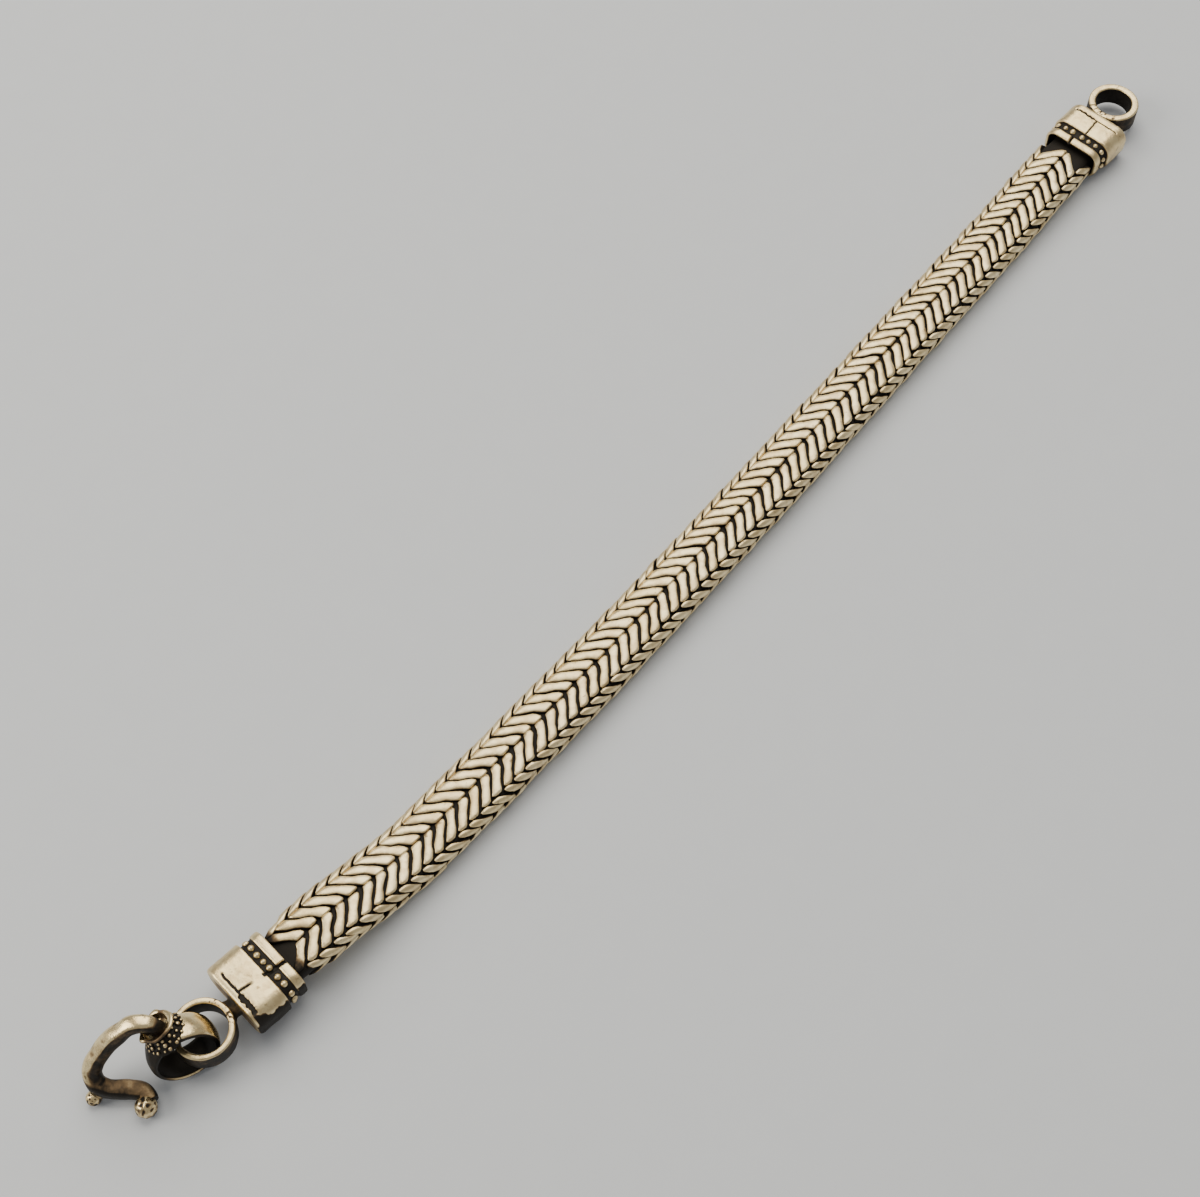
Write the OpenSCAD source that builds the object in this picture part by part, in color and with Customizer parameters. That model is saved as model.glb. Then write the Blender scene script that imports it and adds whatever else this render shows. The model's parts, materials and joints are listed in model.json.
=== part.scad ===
// Wheat chain bracelet, lying open and unclasped.
// The origin is on the ground under the middle of the piece. X runs along the chain, with the
// hook at low X and the plain ring at high X, and Z is up.

/* [Chain] */
// Length of woven chain seen between the two end caps
chain_length = 163.8; // [140:0.2:190]
// Width across the woven band
chain_width = 8.3; // [7.8:0.1:8.6]
// Thickness of the woven band
chain_thickness = 3.6; // [3.2:0.1:3.8]
// Distance from one link to the next
weave_pitch = 2.0; // [1.8:0.05:2.6]
// Depth of the grooves between the links
weave_depth = 0.35; // [0.15:0.05:0.45]
// How far the chain ends reach into the caps
chain_insertion = 2.6; // [1.6:0.1:2.8]
// Sideways wander of the lying chain, as a share of the measured one
chain_wander = 1.0; // [0:0.1:1.2]

/* [End caps] */
// Length of a cap without its ring
cap_length = 7.3; // [6.8:0.1:8]
// Width of the cap's block
cap_width = 9.8; // [9.6:0.1:10.4]
// Height of the cap's block
cap_height = 5.0; // [4.8:0.1:5.6]
// Rounding of the cap's long edges
cap_round = 2.0; // [1.5:0.1:2.2]
// Length of the bar round the cap's mouth
rim_length = 1.2; // [1:0.1:1.5]
// Length of the sunk band that carries the granules
band_length = 1.5; // [1.3:0.1:1.7]
// Radius of one granule
granule_radius = 0.42; // [0.36:0.02:0.48]
// How far the split of the mouth's bar lies beside the middle
split_offset = 0.9; // [0:0.1:1.5]
// Granules round one cap
granule_count = 18; // [14:2:20]

/* [Rings] */
// Outer radius of the two rings soldered to the caps
ring_radius = 3.7; // [3.6:0.05:4]
// Bore radius of the plain ring
plain_bore_radius = 2.65; // [2.4:0.05:2.8]
// Bore radius of the ring that carries the hook
hook_bore_radius = 2.95; // [2.9:0.05:3]
// Height of the rings' tube
ring_height = 3.1; // [2.8:0.1:3.2]
// How far the hook end is held up by the hook's eye
hook_end_lift = 1.2; // [1.1:0.05:1.3]

/* [Hook] */
// Radius of the eye's domed outside
eye_radius = 4.2; // [4.15:0.05:4.4]
// Wall of the eye's domed shell
eye_wall = 0.5; // [0.4:0.05:0.55]
// Lean of the eye's bore from the level
eye_lean = 12; // [10:1:14]
// Thickness of the hook's wire, as a share of the measured one
wire_share = 1.0; // [0.8:0.05:1.1]
// Radius of the ball at the hook's tip
tip_ball_radius = 1.35; // [0.9:0.05:1.35]
// Radius of the small ball at the hook's bend
bend_ball_radius = 0.95; // [0.6:0.05:0.95]

/* [Quality] */
// Sides of the round parts
round_sides = 48; // [32:8:96]
// Sides of the hook's wire
wire_sides = 14; // [10:2:20]

/* [Hidden] */

silver = [0.80, 0.77, 0.70];
dark_silver = [0.60, 0.57, 0.50];

// the whole piece is moved so that the middle of its box is over the origin
frame_x = 5.3;
frame_y = -3.05;

half_chain = chain_length / 2;
cap_middle = cap_height / 2;

// the lying chain: share of the half length, sideways offset
wander_rows = [
  [-1.15, 2.55],
  [-0.96, 1.72],
  [-0.73, 0.35],
  [-0.37, -0.10],
  [0.00, 0.20],
  [0.37, 0.90],
  [0.73, 1.60],
  [0.96, 2.15],
  [1.15, 2.15]
];

// value of a table's column at a place, on a smooth curve through the rows
function last_row(rows, at, i = 0) =
  i >= len(rows) - 2 || rows[i + 1][0] >= at ? i : last_row(rows, at, i + 1);
function row_slope(rows, column, i) =
  let (low = max(i - 1, 0), high = min(i + 1, len(rows) - 1))
  (rows[high][column] - rows[low][column]) / (rows[high][0] - rows[low][0]);
function on_curve(rows, column, at) =
  let (
    i = last_row(rows, at),
    span = rows[i + 1][0] - rows[i][0],
    t = (at - rows[i][0]) / span,
    slope_in = row_slope(rows, column, i) * span,
    slope_out = row_slope(rows, column, i + 1) * span,
    step = rows[i + 1][column] - rows[i][column]
  )
  rows[i][column] + slope_in * t + (3 * step - 2 * slope_in - slope_out) * t * t
    + (slope_in + slope_out - 2 * step) * t * t * t;
function smooth_step(t) = let (c = min(max(t, 0), 1)) c * c * (3 - 2 * c);

function chain_side(x) = chain_wander * on_curve(wander_rows, 1, x / half_chain);

// the chain climbs to the caps over the last stretch at either end
climb_length = 18;
climb_end = half_chain - 3;
function chain_middle(x) =
  let (target = x < 0 ? cap_middle + hook_end_lift : cap_middle)
  chain_thickness / 2
    + (target - chain_thickness / 2) * smooth_step((abs(x) - climb_end + climb_length) / climb_length);

// the band is drawn in a little where it enters the caps
neck_start = half_chain - 3.5;
neck_width_share = 0.9;
neck_height_share = 0.86;
function neck_share(x, share) = 1 - (1 - share) * smooth_step((abs(x) - neck_start) / 3);

// one row for each point of the band's section, on its left and its right side:
// share of the half width, share of the half thickness, lag behind the top's middle line, crease
weave_left = [
  [0.35, 1.00, 1.5, 0.00],
  [0.69, 0.97, 3.0, 0.14],
  [0.93, 0.66, 1.6, 0.00],
  [1.00, 0.00, 0.2, 0.10],
  [0.93, -0.66, 1.6, 0.00],
  [0.69, -0.97, 3.0, 0.14],
  [0.35, -1.00, 1.5, 0.00]
];
weave_right = [
  [0.35, 1.00, 1.4, 0.00],
  [0.69, 0.97, 2.9, 0.14],
  [0.93, 0.66, 1.2, 0.00],
  [1.00, 0.00, 0.0, 0.10],
  [0.93, -0.66, 1.2, 0.00],
  [0.69, -0.97, 2.9, 0.14],
  [0.35, -1.00, 1.4, 0.00]
];
side_rows = len(weave_left);
middle_crease = 0.16;
// the section once round, from the top's middle line over the left side and back over the right
weave_section = concat(
  [[0, 1, 0, middle_crease]],
  [for (row = weave_left) row],
  [[0, -1, 0, middle_crease]],
  [for (i = [side_rows - 1:-1:0])
    [-weave_right[i][0], weave_right[i][1], weave_right[i][2], weave_right[i][3]]]
);
longest_lag = 3.0;

// three loops for each link: in the groove, and at both sides of its crest
loop_places = [0, 0.2, 0.8];
loop_depths = [1, 0, 0];
weave_start = -half_chain - chain_insertion;
weave_end = half_chain + chain_insertion;
link_count = ceil((weave_end - weave_start + longest_lag) / weave_pitch);
// points past the chain's ends are pressed together into almost flat end faces
press_share = 0.04;
function pressed(x) =
  x < weave_start ? weave_start + (x - weave_start) * press_share
    : x > weave_end ? weave_end + (x - weave_end) * press_share
    : x;

function weave_point(row, x, depth) =
  let (
    at = pressed(x - row[2]),
    inset = depth * weave_depth + row[3],
    reach = sqrt(row[0] * row[0] + row[1] * row[1]),
    out = [row[0] / reach, row[1] / reach],
    across = (row[0] * chain_width / 2 - out[0] * inset) * neck_share(at, neck_width_share),
    up = (row[1] * chain_thickness / 2 - out[1] * inset) * neck_share(at, neck_height_share)
  )
  [at, chain_side(at) + across, chain_middle(at) + up];

// closed solid between loops of points, each loop running the same way round
module skin(loops) {
  count = len(loops[0]);
  last = len(loops) - 1;
  points = [for (loop = loops) for (p = loop) p];
  walls = [
    for (i = [0:last - 1], j = [0:count - 1])
    let (a = i * count + j, b = i * count + (j + 1) % count, c = a + count, d = b + count)
    each [[a, b, d], [a, d, c]]
  ];
  caps = [
    [for (j = [count - 1:-1:0]) j],
    [for (j = [0:count - 1]) last * count + j]
  ];
  polyhedron(points = points, faces = concat(walls, caps));
}

module chain() {
  loops = [
    for (i = [0:link_count - 1], k = [0:len(loop_places) - 1])
    [for (row = weave_section)
      weave_point(row, weave_start + (i + loop_places[k]) * weave_pitch, loop_depths[k])]
  ];
  color(silver) skin(loops);
}

module rounded_rect(w, h, r) {
  square([w - 2 * r, h], center = true);
  square([w, h - 2 * r], center = true);
  for (side = [-1, 1], level = [-1, 1]) {
    translate([side * (w / 2 - r), level * (h / 2 - r)]) circle(r, $fn = round_sides);
  }
}

// bar along X with a rounded section, its middle line on the X axis
module rounded_bar(from, to, w, h, r) {
  translate([from, 0, 0]) rotate([90, 0, 90]) linear_extrude(to - from) rounded_rect(w, h, r);
}

// point at a distance round a rounded oblong, starting at the middle of its top
function round_oblong(w, h, r, u) =
  let (
    flat = w / 2 - r,
    bend = PI * r / 2,
    wall = h - 2 * r,
    a = flat,
    b = a + bend,
    c = b + wall,
    d = c + bend
  )
  u < a ? [u, h / 2]
    : u < b ? let (t = 90 * (u - a) / bend) [flat + r * sin(t), h / 2 - r + r * cos(t)]
    : u < c ? [w / 2, h / 2 - r - (u - b)]
    : u < d ? let (t = 90 * (u - c) / bend) [flat + r * cos(t), -h / 2 + r - r * sin(t)]
    : [flat - (u - d), -h / 2];
function round_oblong_half(w, h, r) = w + h - 4 * r + PI * r;

rim_width = cap_width - 0.7;
rim_height = cap_height - 0.4;
band_width = cap_width - 1.2;
band_height = cap_height - 0.9;
band_round = cap_round - 0.45;
rim_round = cap_round - 0.2;
pocket_gap = 0.2;
pocket_width = chain_width * neck_width_share + 2 * pocket_gap;
pocket_height = chain_thickness * neck_height_share + 2 * pocket_gap;
pocket_depth = chain_insertion + 0.7;
seam_width = 0.22;
seam_depth = 0.2;
seam_inset = 1.1;
seam_reach = 3.3;
split_width = 0.3;
pocket_round = 0.9;
plan_width = cap_width + 0.4;
plan_round = 0.8;
plan_length = 10;
solder_side = 2.4;
// how far one bar of the cap runs into the next
overlap = 0.2;

// cap with its mouth at X = 0 and its ring past the far end, middle line on the X axis
module end_cap(bore_radius, solder_gap, ring_shift) {
  band_start = rim_length;
  block_start = rim_length + band_length;
  ring_centre = cap_length + solder_gap + ring_radius;
  difference() {
    union() {
      rounded_bar(0, rim_length, rim_width, rim_height, rim_round);
      rounded_bar(band_start - overlap, block_start + overlap, band_width, band_height, band_round);
      intersection() {
        rounded_bar(block_start, cap_length, cap_width, cap_height, cap_round);
        translate([0, 0, -cap_height]) linear_extrude(2 * cap_height)
          translate([cap_length - plan_length / 2, 0]) rounded_rect(plan_length, plan_width, plan_round);
      }
      granules();
      translate([ring_centre, ring_shift, -ring_height / 2])
        cylinder(h = ring_height, r = ring_radius, $fn = round_sides);
      translate([cap_length - 0.5, ring_shift - solder_side / 2, -solder_side / 2])
        cube([solder_gap + 1.1, solder_side, solder_side]);
    }
    rounded_bar(-1, pocket_depth, pocket_width, pocket_height, pocket_round);
    translate([ring_centre, ring_shift, -ring_height])
      cylinder(h = 2 * ring_height, r = bore_radius, $fn = round_sides);
    // split in the mouth's bar and the seams of the block's top
    translate([-1, split_offset - split_width / 2, pocket_height / 2])
      cube([rim_length + 1.05, split_width, 3]);
    translate([block_start - 1, -seam_width / 2, cap_height / 2 - seam_depth])
      cube([cap_length - seam_inset - block_start + 1.1, seam_width, 1]);
    translate([cap_length - seam_inset, -seam_reach, cap_height / 2 - seam_depth])
      cube([seam_width, 2 * seam_reach, 1]);
  }
}

module granules() {
  half_way = round_oblong_half(band_width, band_height, band_round);
  spacing = 2 * half_way / granule_count;
  for (side = [-1, 1], i = [0:granule_count / 2 - 1]) {
    spot = round_oblong(band_width, band_height, band_round, (i + 0.5) * spacing);
    translate([rim_length + band_length / 2, side * spot[0], spot[1]])
      sphere(granule_radius, $fn = 24);
  }
}

// heading of the chain where it enters a cap
function chain_heading(x) = atan2(chain_side(x + 0.5) - chain_side(x - 0.5), 1);

// each cap is turned a little from the chain's heading
cap_turn = -2;
near_heading = 180 + chain_heading(-half_chain - 3) + cap_turn;
far_heading = chain_heading(half_chain + 3) + cap_turn;
near_solder = 0.85;
far_solder = 0.6;
near_ring_shift = 0.4;
far_ring_shift = 0.7;

module hook_end_cap() {
  color(dark_silver)
    translate([-half_chain, chain_side(-half_chain), cap_middle + hook_end_lift])
    rotate([0, 0, near_heading])
    end_cap(hook_bore_radius, near_solder, near_ring_shift);
}

module ring_end_cap() {
  color(dark_silver)
    translate([half_chain, chain_side(half_chain), cap_middle])
    rotate([0, 0, far_heading])
    end_cap(plain_bore_radius, far_solder, far_ring_shift);
}

// place of the eye's middle, beside the hook end's ring
near_ring_reach = cap_length + near_solder + ring_radius;
near_ring_x = -half_chain + near_ring_reach * cos(near_heading) - near_ring_shift * sin(near_heading);
near_ring_y = chain_side(-half_chain) + near_ring_reach * sin(near_heading)
  + near_ring_shift * cos(near_heading);
eye_middle = [near_ring_x - 2.85, near_ring_y + 0.45, eye_radius];
eye_heading = -110;
eye_near_half = 1.55;
eye_far_half = 2.1;

// the collar stands on the eye: its way out, and places along it from the eye's middle
collar_way = [-0.16, 0.43, 0.89];
skirt_start = 3.15;
skirt_end = 4.6;
skirt_radius = 2.6;
neck_radius = 1.5;
cup_start = 4.4;
cup_end = 5.3;
cup_radius = 1.85;
cup_bottom = 4.75;
cup_bottom_radius = 1.35;
cup_mouth_radius = 1.8;
lip_ring_radius = 1.82;
lip_radius = 0.2;
collar_granule_radius = 0.27;
// one row for each ring of granules on the skirt: along, radius, granules, turn in granules
skirt_rows = [
  [3.54, 2.30, 20, 0.0],
  [4.00, 1.95, 17, 0.5],
  [4.45, 1.61, 13, 0.0]
];

// the hook's wire from the collar to the tip, measured from the eye's middle:
// step, along, across, up, radius
wire_rows = [
  [0, -0.65, 1.70, 3.50, 1.00],
  [1, -0.76, 2.07, 4.40, 1.00],
  [2, -1.07, 2.68, 5.12, 1.02],
  [3, -1.70, 3.52, 5.42, 1.06],
  [4, -2.65, 4.38, 5.08, 1.10],
  [5, -3.85, 5.10, 4.15, 1.12],
  [6, -5.15, 5.70, 3.00, 1.10],
  [7, -6.50, 6.05, 1.75, 1.10],
  [8, -7.65, 6.15, 0.50, 1.12],
  [9, -8.55, 5.90, -0.70, 1.12],
  [10, -8.95, 5.00, -1.65, 1.15],
  [11, -8.60, 3.90, -2.25, 1.18],
  [12, -7.80, 2.90, -2.55, 1.18],
  [13, -6.95, 1.90, -2.75, 1.12],
  [14, -6.20, 0.80, -2.90, 1.05],
  [15, -6.12, -0.05, -2.93, 0.96],
  [16, -6.30, -0.78, -2.95, 0.88]
];
wire_steps_per_row = 2;
wire_end = len(wire_rows) - 1;
// the hammered wire's section is a circle drawn out towards its four corners
wire_squareness = 0.75;
function squared(c) = sign(c) * pow(abs(c), wire_squareness);
function wire_at(s) = [for (column = [1:3]) on_curve(wire_rows, column, s)];
function unit(v) = v / norm(v);
function wire_loop(s) =
  let (
    middle = wire_at(s),
    ahead = unit(wire_at(min(s + 0.05, wire_end)) - wire_at(max(s - 0.05, 0))),
    right = unit(cross(ahead, [0, 0, 1])),
    up = cross(right, ahead),
    radius = on_curve(wire_rows, 4, s) * wire_share
  )
  [for (j = [0:wire_sides - 1])
    let (turn = 360 * j / wire_sides)
    middle + radius * (squared(cos(turn)) * right + squared(sin(turn)) * up)];

// turns a thing that stands along Z so that it points along v
module aim(v) {
  rotate([0, acos(v[2] / norm(v)), atan2(v[1], v[0])]) children();
}

// slice of a ball between the eye's two open sides
module eye_slice(radius, extra) {
  rotate([0, 90 - eye_lean, eye_heading])
    intersection() {
      sphere(radius, $fn = round_sides);
      translate([-radius - 1, -radius - 1, -eye_far_half - extra])
        cube([2 * radius + 2, 2 * radius + 2, eye_far_half + eye_near_half + 2 * extra]);
    }
}

// granulated skirt on the eye, with an open cup on it that the wire comes out of
module collar() {
  aim(collar_way) {
    translate([0, 0, skirt_start])
      cylinder(h = skirt_end - skirt_start, r1 = skirt_radius, r2 = neck_radius, $fn = round_sides);
    for (row = skirt_rows, i = [0:row[2] - 1])
      rotate([0, 0, 360 * (i + row[3]) / row[2]]) translate([row[1], 0, row[0]])
        sphere(collar_granule_radius, $fn = 20);
    difference() {
      translate([0, 0, cup_start])
        cylinder(h = cup_end - cup_start, r1 = neck_radius, r2 = cup_radius, $fn = round_sides);
      translate([0, 0, cup_bottom])
        cylinder(h = cup_end - cup_bottom + overlap, r1 = cup_bottom_radius, r2 = cup_mouth_radius,
          $fn = round_sides);
    }
    translate([0, 0, cup_end]) rotate_extrude($fn = round_sides)
      translate([lip_ring_radius, 0]) circle(lip_radius, $fn = 20);
  }
}

module hook() {
  bend_ball = [-10.25, 4.6, bend_ball_radius - eye_radius];
  stub_end = [-8.9, 4.05, -2.5];
  stub_radii = [0.5, 0.8];
  tip_ball = [-7.15, -0.8, tip_ball_radius - eye_radius];
  color(silver) translate(eye_middle) {
    difference() {
      union() {
        eye_slice(eye_radius, 0);
        collar();
      }
      eye_slice(eye_radius - eye_wall, 1);
    }
    skin([for (k = [0:wire_end * wire_steps_per_row]) wire_loop(k / wire_steps_per_row)]);
    // both balls are turned so that their seams lie away from the wire
    translate(tip_ball) rotate([0, 0, 180]) sphere(tip_ball_radius, $fn = 32);
    translate(bend_ball) rotate([0, 0, 180]) sphere(bend_ball_radius, $fn = 32);
    translate(bend_ball) aim(stub_end - bend_ball)
      cylinder(h = norm(stub_end - bend_ball), r1 = stub_radii[0], r2 = stub_radii[1], $fn = 24);
  }
}

translate([frame_x, frame_y, 0]) {
  chain();
  hook_end_cap();
  ring_end_cap();
  hook();
}
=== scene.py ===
import json
import math
from collections import namedtuple

import bmesh
import bpy
from mathutils import Matrix, Vector, noise

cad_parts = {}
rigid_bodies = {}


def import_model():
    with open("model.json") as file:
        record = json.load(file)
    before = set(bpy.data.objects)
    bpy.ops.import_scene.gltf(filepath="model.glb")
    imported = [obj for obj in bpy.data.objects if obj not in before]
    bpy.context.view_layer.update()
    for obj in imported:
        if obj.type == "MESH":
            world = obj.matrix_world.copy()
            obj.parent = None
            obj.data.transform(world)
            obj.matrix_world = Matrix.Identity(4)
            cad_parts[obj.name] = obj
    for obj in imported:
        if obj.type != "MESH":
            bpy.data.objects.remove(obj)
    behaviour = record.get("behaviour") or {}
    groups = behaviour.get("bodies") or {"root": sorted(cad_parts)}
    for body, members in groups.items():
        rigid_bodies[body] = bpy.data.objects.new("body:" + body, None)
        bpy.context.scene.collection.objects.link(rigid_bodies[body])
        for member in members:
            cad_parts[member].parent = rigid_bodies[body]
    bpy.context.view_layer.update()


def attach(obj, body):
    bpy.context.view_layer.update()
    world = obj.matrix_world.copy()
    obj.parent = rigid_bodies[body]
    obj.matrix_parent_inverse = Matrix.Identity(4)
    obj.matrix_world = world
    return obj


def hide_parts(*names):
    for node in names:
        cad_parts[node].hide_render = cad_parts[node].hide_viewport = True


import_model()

bl_info = {
    "name": "Wheat Chain Bracelet",
    "version": (1, 0, 0),
    "blender": (4, 5, 0),
    "location": "View3D > Sidebar > Bracelet",
    "description": "Dresses the wheat chain bracelet with its woven links, end caps and hook",
    "category": "Object",
}

# Sizes are worked out in millimetres and become metres when a mesh is made
MM = 0.001

# Places that the solids give, in millimetres
FRAME_SHIFT = Vector((5.3, -3.05, 0.0))
HALF_CHAIN = 81.9
CHAIN_INSERTION = 2.6
HALF_WIDTH = 4.15
HALF_THICKNESS = 1.8
CAP_LENGTH = 7.3
CAP_MIDDLE = 2.5
HOOK_END_LIFT = 1.2
CAP_TURN = -2.0
RING_RADIUS = 3.7
RING_HALF_HEIGHT = 1.55
EYE_MIDDLE = Vector((-91.29, -0.054, 4.2))
EYE_AXIS = Vector((-0.33454, -0.91914, 0.20791))
EYE_RADIUS = 4.2
EYE_WALL = 0.5

# The chain climbs to the caps' mouths over a length, and narrows where it enters them
CLIMB_START = 21.0
CLIMB_LENGTH = 18.0
NECK_START = 3.5
NECK_LENGTH = 3.0
NECK_WIDTH = 0.90
NECK_HEIGHT = 0.86

# The lying chain: share of the half length, sideways offset
WANDER_ROWS = (
    (-1.15, 2.55),
    (-0.96, 1.72),
    (-0.73, 0.35),
    (-0.37, -0.10),
    (0.00, 0.20),
    (0.37, 0.90),
    (0.73, 1.60),
    (0.96, 2.15),
    (1.15, 2.15),
)

# Outlines of the bars of one link on the band's skin, left being +Y:
# distance from the face's middle line round the section, trailing edge, leading edge
TOP_LEFT = (
    (0.02, 3.06, 4.14),
    (0.10, 2.93, 4.32),
    (0.32, 2.72, 4.42),
    (0.75, 2.36, 4.22),
    (1.25, 1.86, 3.72),
    (1.80, 1.14, 3.00),
    (2.30, 0.62, 2.48),
    (2.72, 0.24, 2.04),
    (2.96, 0.10, 1.86),
)
TOP_RIGHT = (
    (0.02, 2.74, 3.82),
    (0.14, 2.63, 3.98),
    (0.45, 2.46, 4.04),
    (0.80, 2.20, 3.84),
    (1.30, 1.72, 3.28),
    (1.85, 1.05, 2.68),
    (2.35, 0.54, 2.26),
    (2.74, 0.14, 1.94),
    (2.98, 0.40, 1.66),
    (3.12, 0.80, 1.42),
)
EDGE_LEFT = (
    (2.94, 0.12, 1.84),
    (3.12, 0.30, 2.06),
    (3.50, 0.78, 2.55),
    (4.00, 1.42, 3.18),
    (4.50, 2.06, 3.80),
    (4.95, 2.72, 4.30),
    (5.17, 3.15, 4.30),
)
EDGE_RIGHT = (
    (3.13, 1.86, 2.42),
    (3.26, 1.66, 2.80),
    (3.50, 1.62, 3.16),
    (3.95, 2.06, 3.68),
    (4.45, 2.66, 4.30),
    (4.92, 3.26, 4.84),
    (5.17, 3.70, 4.86),
)
# Across a bar: share of its width, depth under the skin, wear
BAR_SECTION = (
    (-0.030, 0.85, 0.00),
    (0.005, 0.32, 0.02),
    (0.048, 0.10, 0.55),
    (0.145, 0.03, 1.00),
    (0.500, 0.00, 1.00),
    (0.855, 0.03, 1.00),
    (0.952, 0.10, 0.55),
    (0.995, 0.32, 0.02),
    (1.030, 0.85, 0.00),
)
# How deep the foot of a bar lies under the skin
BAR_DEPTH = 0.85
# How many shapes the bars of one column take
BAR_SHAPES = 3
# How far the ends of a bar dip, and over how many rows its stain fades
END_DIP = 0.16
STAINED_ROWS = 3
# Where the middle of a link's bars lies from its place on the line
LINK_MIDDLE = 2.0
# Columns of bars on one face: name, outline, side, stain
COLUMNS = (
    ("left face", TOP_LEFT, 1, 0.25),
    ("right face", TOP_RIGHT, -1, 0.85),
    ("left edge", EDGE_LEFT, 1, 0.10),
    ("right edge", EDGE_RIGHT, -1, 0.20),
)
# How deep the dark core lies under the skin, and the scale of the weave's waves
CORE_DEPTH = 0.55
WAVES_PER_MM = 0.55

# The end cap from the bottom of its pocket over the mouth to its outer end:
# along, width, height, corner radius, wear
CAP_ROWS = (
    (3.25, 7.60, 3.30, 0.85, 0.0),
    (3.20, 7.87, 3.50, 0.90, 0.0),
    (0.30, 7.87, 3.50, 0.90, 0.0),
    (0.10, 7.95, 3.56, 0.94, 0.15),
    (0.02, 8.20, 3.80, 1.10, 0.7),
    (0.00, 8.45, 4.02, 1.30, 0.9),
    (0.07, 8.90, 4.42, 1.65, 1.0),
    (0.25, 9.08, 4.58, 1.78, 1.0),
    (0.60, 9.12, 4.62, 1.80, 1.0),
    (0.95, 9.08, 4.58, 1.78, 1.0),
    (1.13, 8.92, 4.44, 1.70, 0.9),
    (1.20, 8.75, 4.25, 1.60, 0.3),
    (1.27, 8.60, 4.10, 1.55, 0.0),
    (2.64, 8.60, 4.10, 1.55, 0.0),
    (2.70, 8.95, 4.40, 1.70, 0.2),
    (2.73, 9.45, 4.78, 1.90, 0.8),
    (2.80, 9.70, 4.93, 1.97, 1.0),
    (2.95, 9.80, 5.00, 2.00, 1.0),
    (6.75, 9.80, 5.00, 2.00, 1.0),
    (7.02, 9.68, 4.93, 1.95, 1.0),
    (7.20, 9.40, 4.75, 1.88, 1.0),
    (7.28, 9.00, 4.50, 1.80, 0.9),
    (7.30, 8.60, 4.20, 1.70, 0.8),
    (7.30, 5.60, 2.80, 1.20, 0.6),
    (7.30, 2.40, 1.20, 0.55, 0.5),
)
# How long the mouth's bar is, and where the block starts
RIM_LENGTH = 1.2
BLOCK_START = 2.7
# Depths of the split in the mouth's bar, of the gash behind it and of the seams on the
# block, and how far the cross seam runs to the side
SPLIT_DEPTH = 0.55
GASH_DEPTH = 0.18
SEAM_DEPTH = 0.22
SEAM_REACH = 3.3
# The two cushions on the block's top, one on each side of a middle
CUSHION_HEIGHT = 0.05
CUSHION_MIDDLE = (4.6, 0.3)
CUSHION_APART = 1.75
CUSHION_REACH = (2.2, 1.7)
# Where painted shade darkens a cap's side that faces away from the light: a place on the edge of
# the top's dark corner and the edge's slope, the corner's reach along, the flank of the block and
# that of the mouth's bar
SHADE_PLACE = (5.4, 4.15)
SHADE_SLOPE = 0.60
SHADE_REACH = (4.0, 6.9)
SHADED_FLANK = 4.45
SHADED_RIM = 4.22
# The ring's rounded edges, and the solder that joins it to the cap
RING_CORNER = 0.26
RING_CORNER_SHARE = 0.32
SOLDER_OVERLAP = 0.3
SOLDER_IN_WALL = 0.55
SOLDER_HALF = 1.12
SOLDER_FLARE = 0.5
SOLDER_WEAR = 0.30
# The band that the granules stand on, as width, height and corner, and their line on it
GRANULE_BAND = (8.60, 4.10, 1.55)
GRANULE_LINE = 1.96

# What differs between the caps, in their own frames. Splits and seams are given by their
# place at the mouth's bar or at the cross seam, their slope and their half width.
CapShape = namedtuple("CapShape", (
    "node", "bore", "solder", "ring_shift", "x", "lift", "turn", "seed",
    "split", "split_slope", "split_width", "gash_end",
    "middle", "middle_slope", "middle_width", "middle_from", "middle_full",
    "cross", "cross_narrow", "cross_wide", "wide_from", "seam_start", "scorch", "granules"))
# The granules are the sideways places of those that show on top
# The hook end cap gets painted shade on its side that faces away from the light; the ring end cap
# gets none.
HOOK_END_CAP = CapShape(
    node="hook_end_cap", bore=2.95, solder=0.85, ring_shift=0.4, x=-HALF_CHAIN,
    lift=HOOK_END_LIFT, turn=180, seed=2.0,
    split=1.05, split_slope=-0.12, split_width=0.32, gash_end=3.1,
    middle=0.25, middle_slope=-0.16, middle_width=0.20, middle_from=4.2, middle_full=5.3,
    cross=6.35, cross_narrow=0.22, cross_wide=0.42, wide_from=0.55, seam_start=2.5, scorch=1.0,
    granules=(-3.80, -2.85, -1.72, -0.60, 0.45, 1.95, 3.05, 4.15))
RING_END_CAP = CapShape(
    node="ring_end_cap", bore=2.65, solder=0.60, ring_shift=0.7, x=HALF_CHAIN,
    lift=0.0, turn=0, seed=9.0,
    split=0.75, split_slope=0.12, split_width=0.26, gash_end=1.3,
    middle=-0.05, middle_slope=0.10, middle_width=0.13, middle_from=2.4, middle_full=2.8,
    cross=5.85, cross_narrow=0.13, cross_wide=0.22, wide_from=0.3, seam_start=3.3, scorch=0.0,
    granules=(3.80, 2.60, 1.40, -0.25, -1.42, -2.65, -3.80))

# The eye's dome between its two open sides, along its axis, and how its edges are rounded
EYE_OPENINGS = (-2.10, 1.55)
EYE_EDGE = (0.10, 0.03)
# Wear of the eye's outer skin, its edges and its hollow, the way that its brightest side faces,
# away from which its skin gets painted shade, and the angle and half width of the rubbed spot on
# its rim
EYE_WEAR = 0.85
RIM_WEAR = 0.75
HOLLOW_WEAR = 0.12
EYE_BRIGHT_WAY = Vector((0.89, -0.09, 0.45))
EYE_RIM_SPOT = (235, 75)

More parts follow.
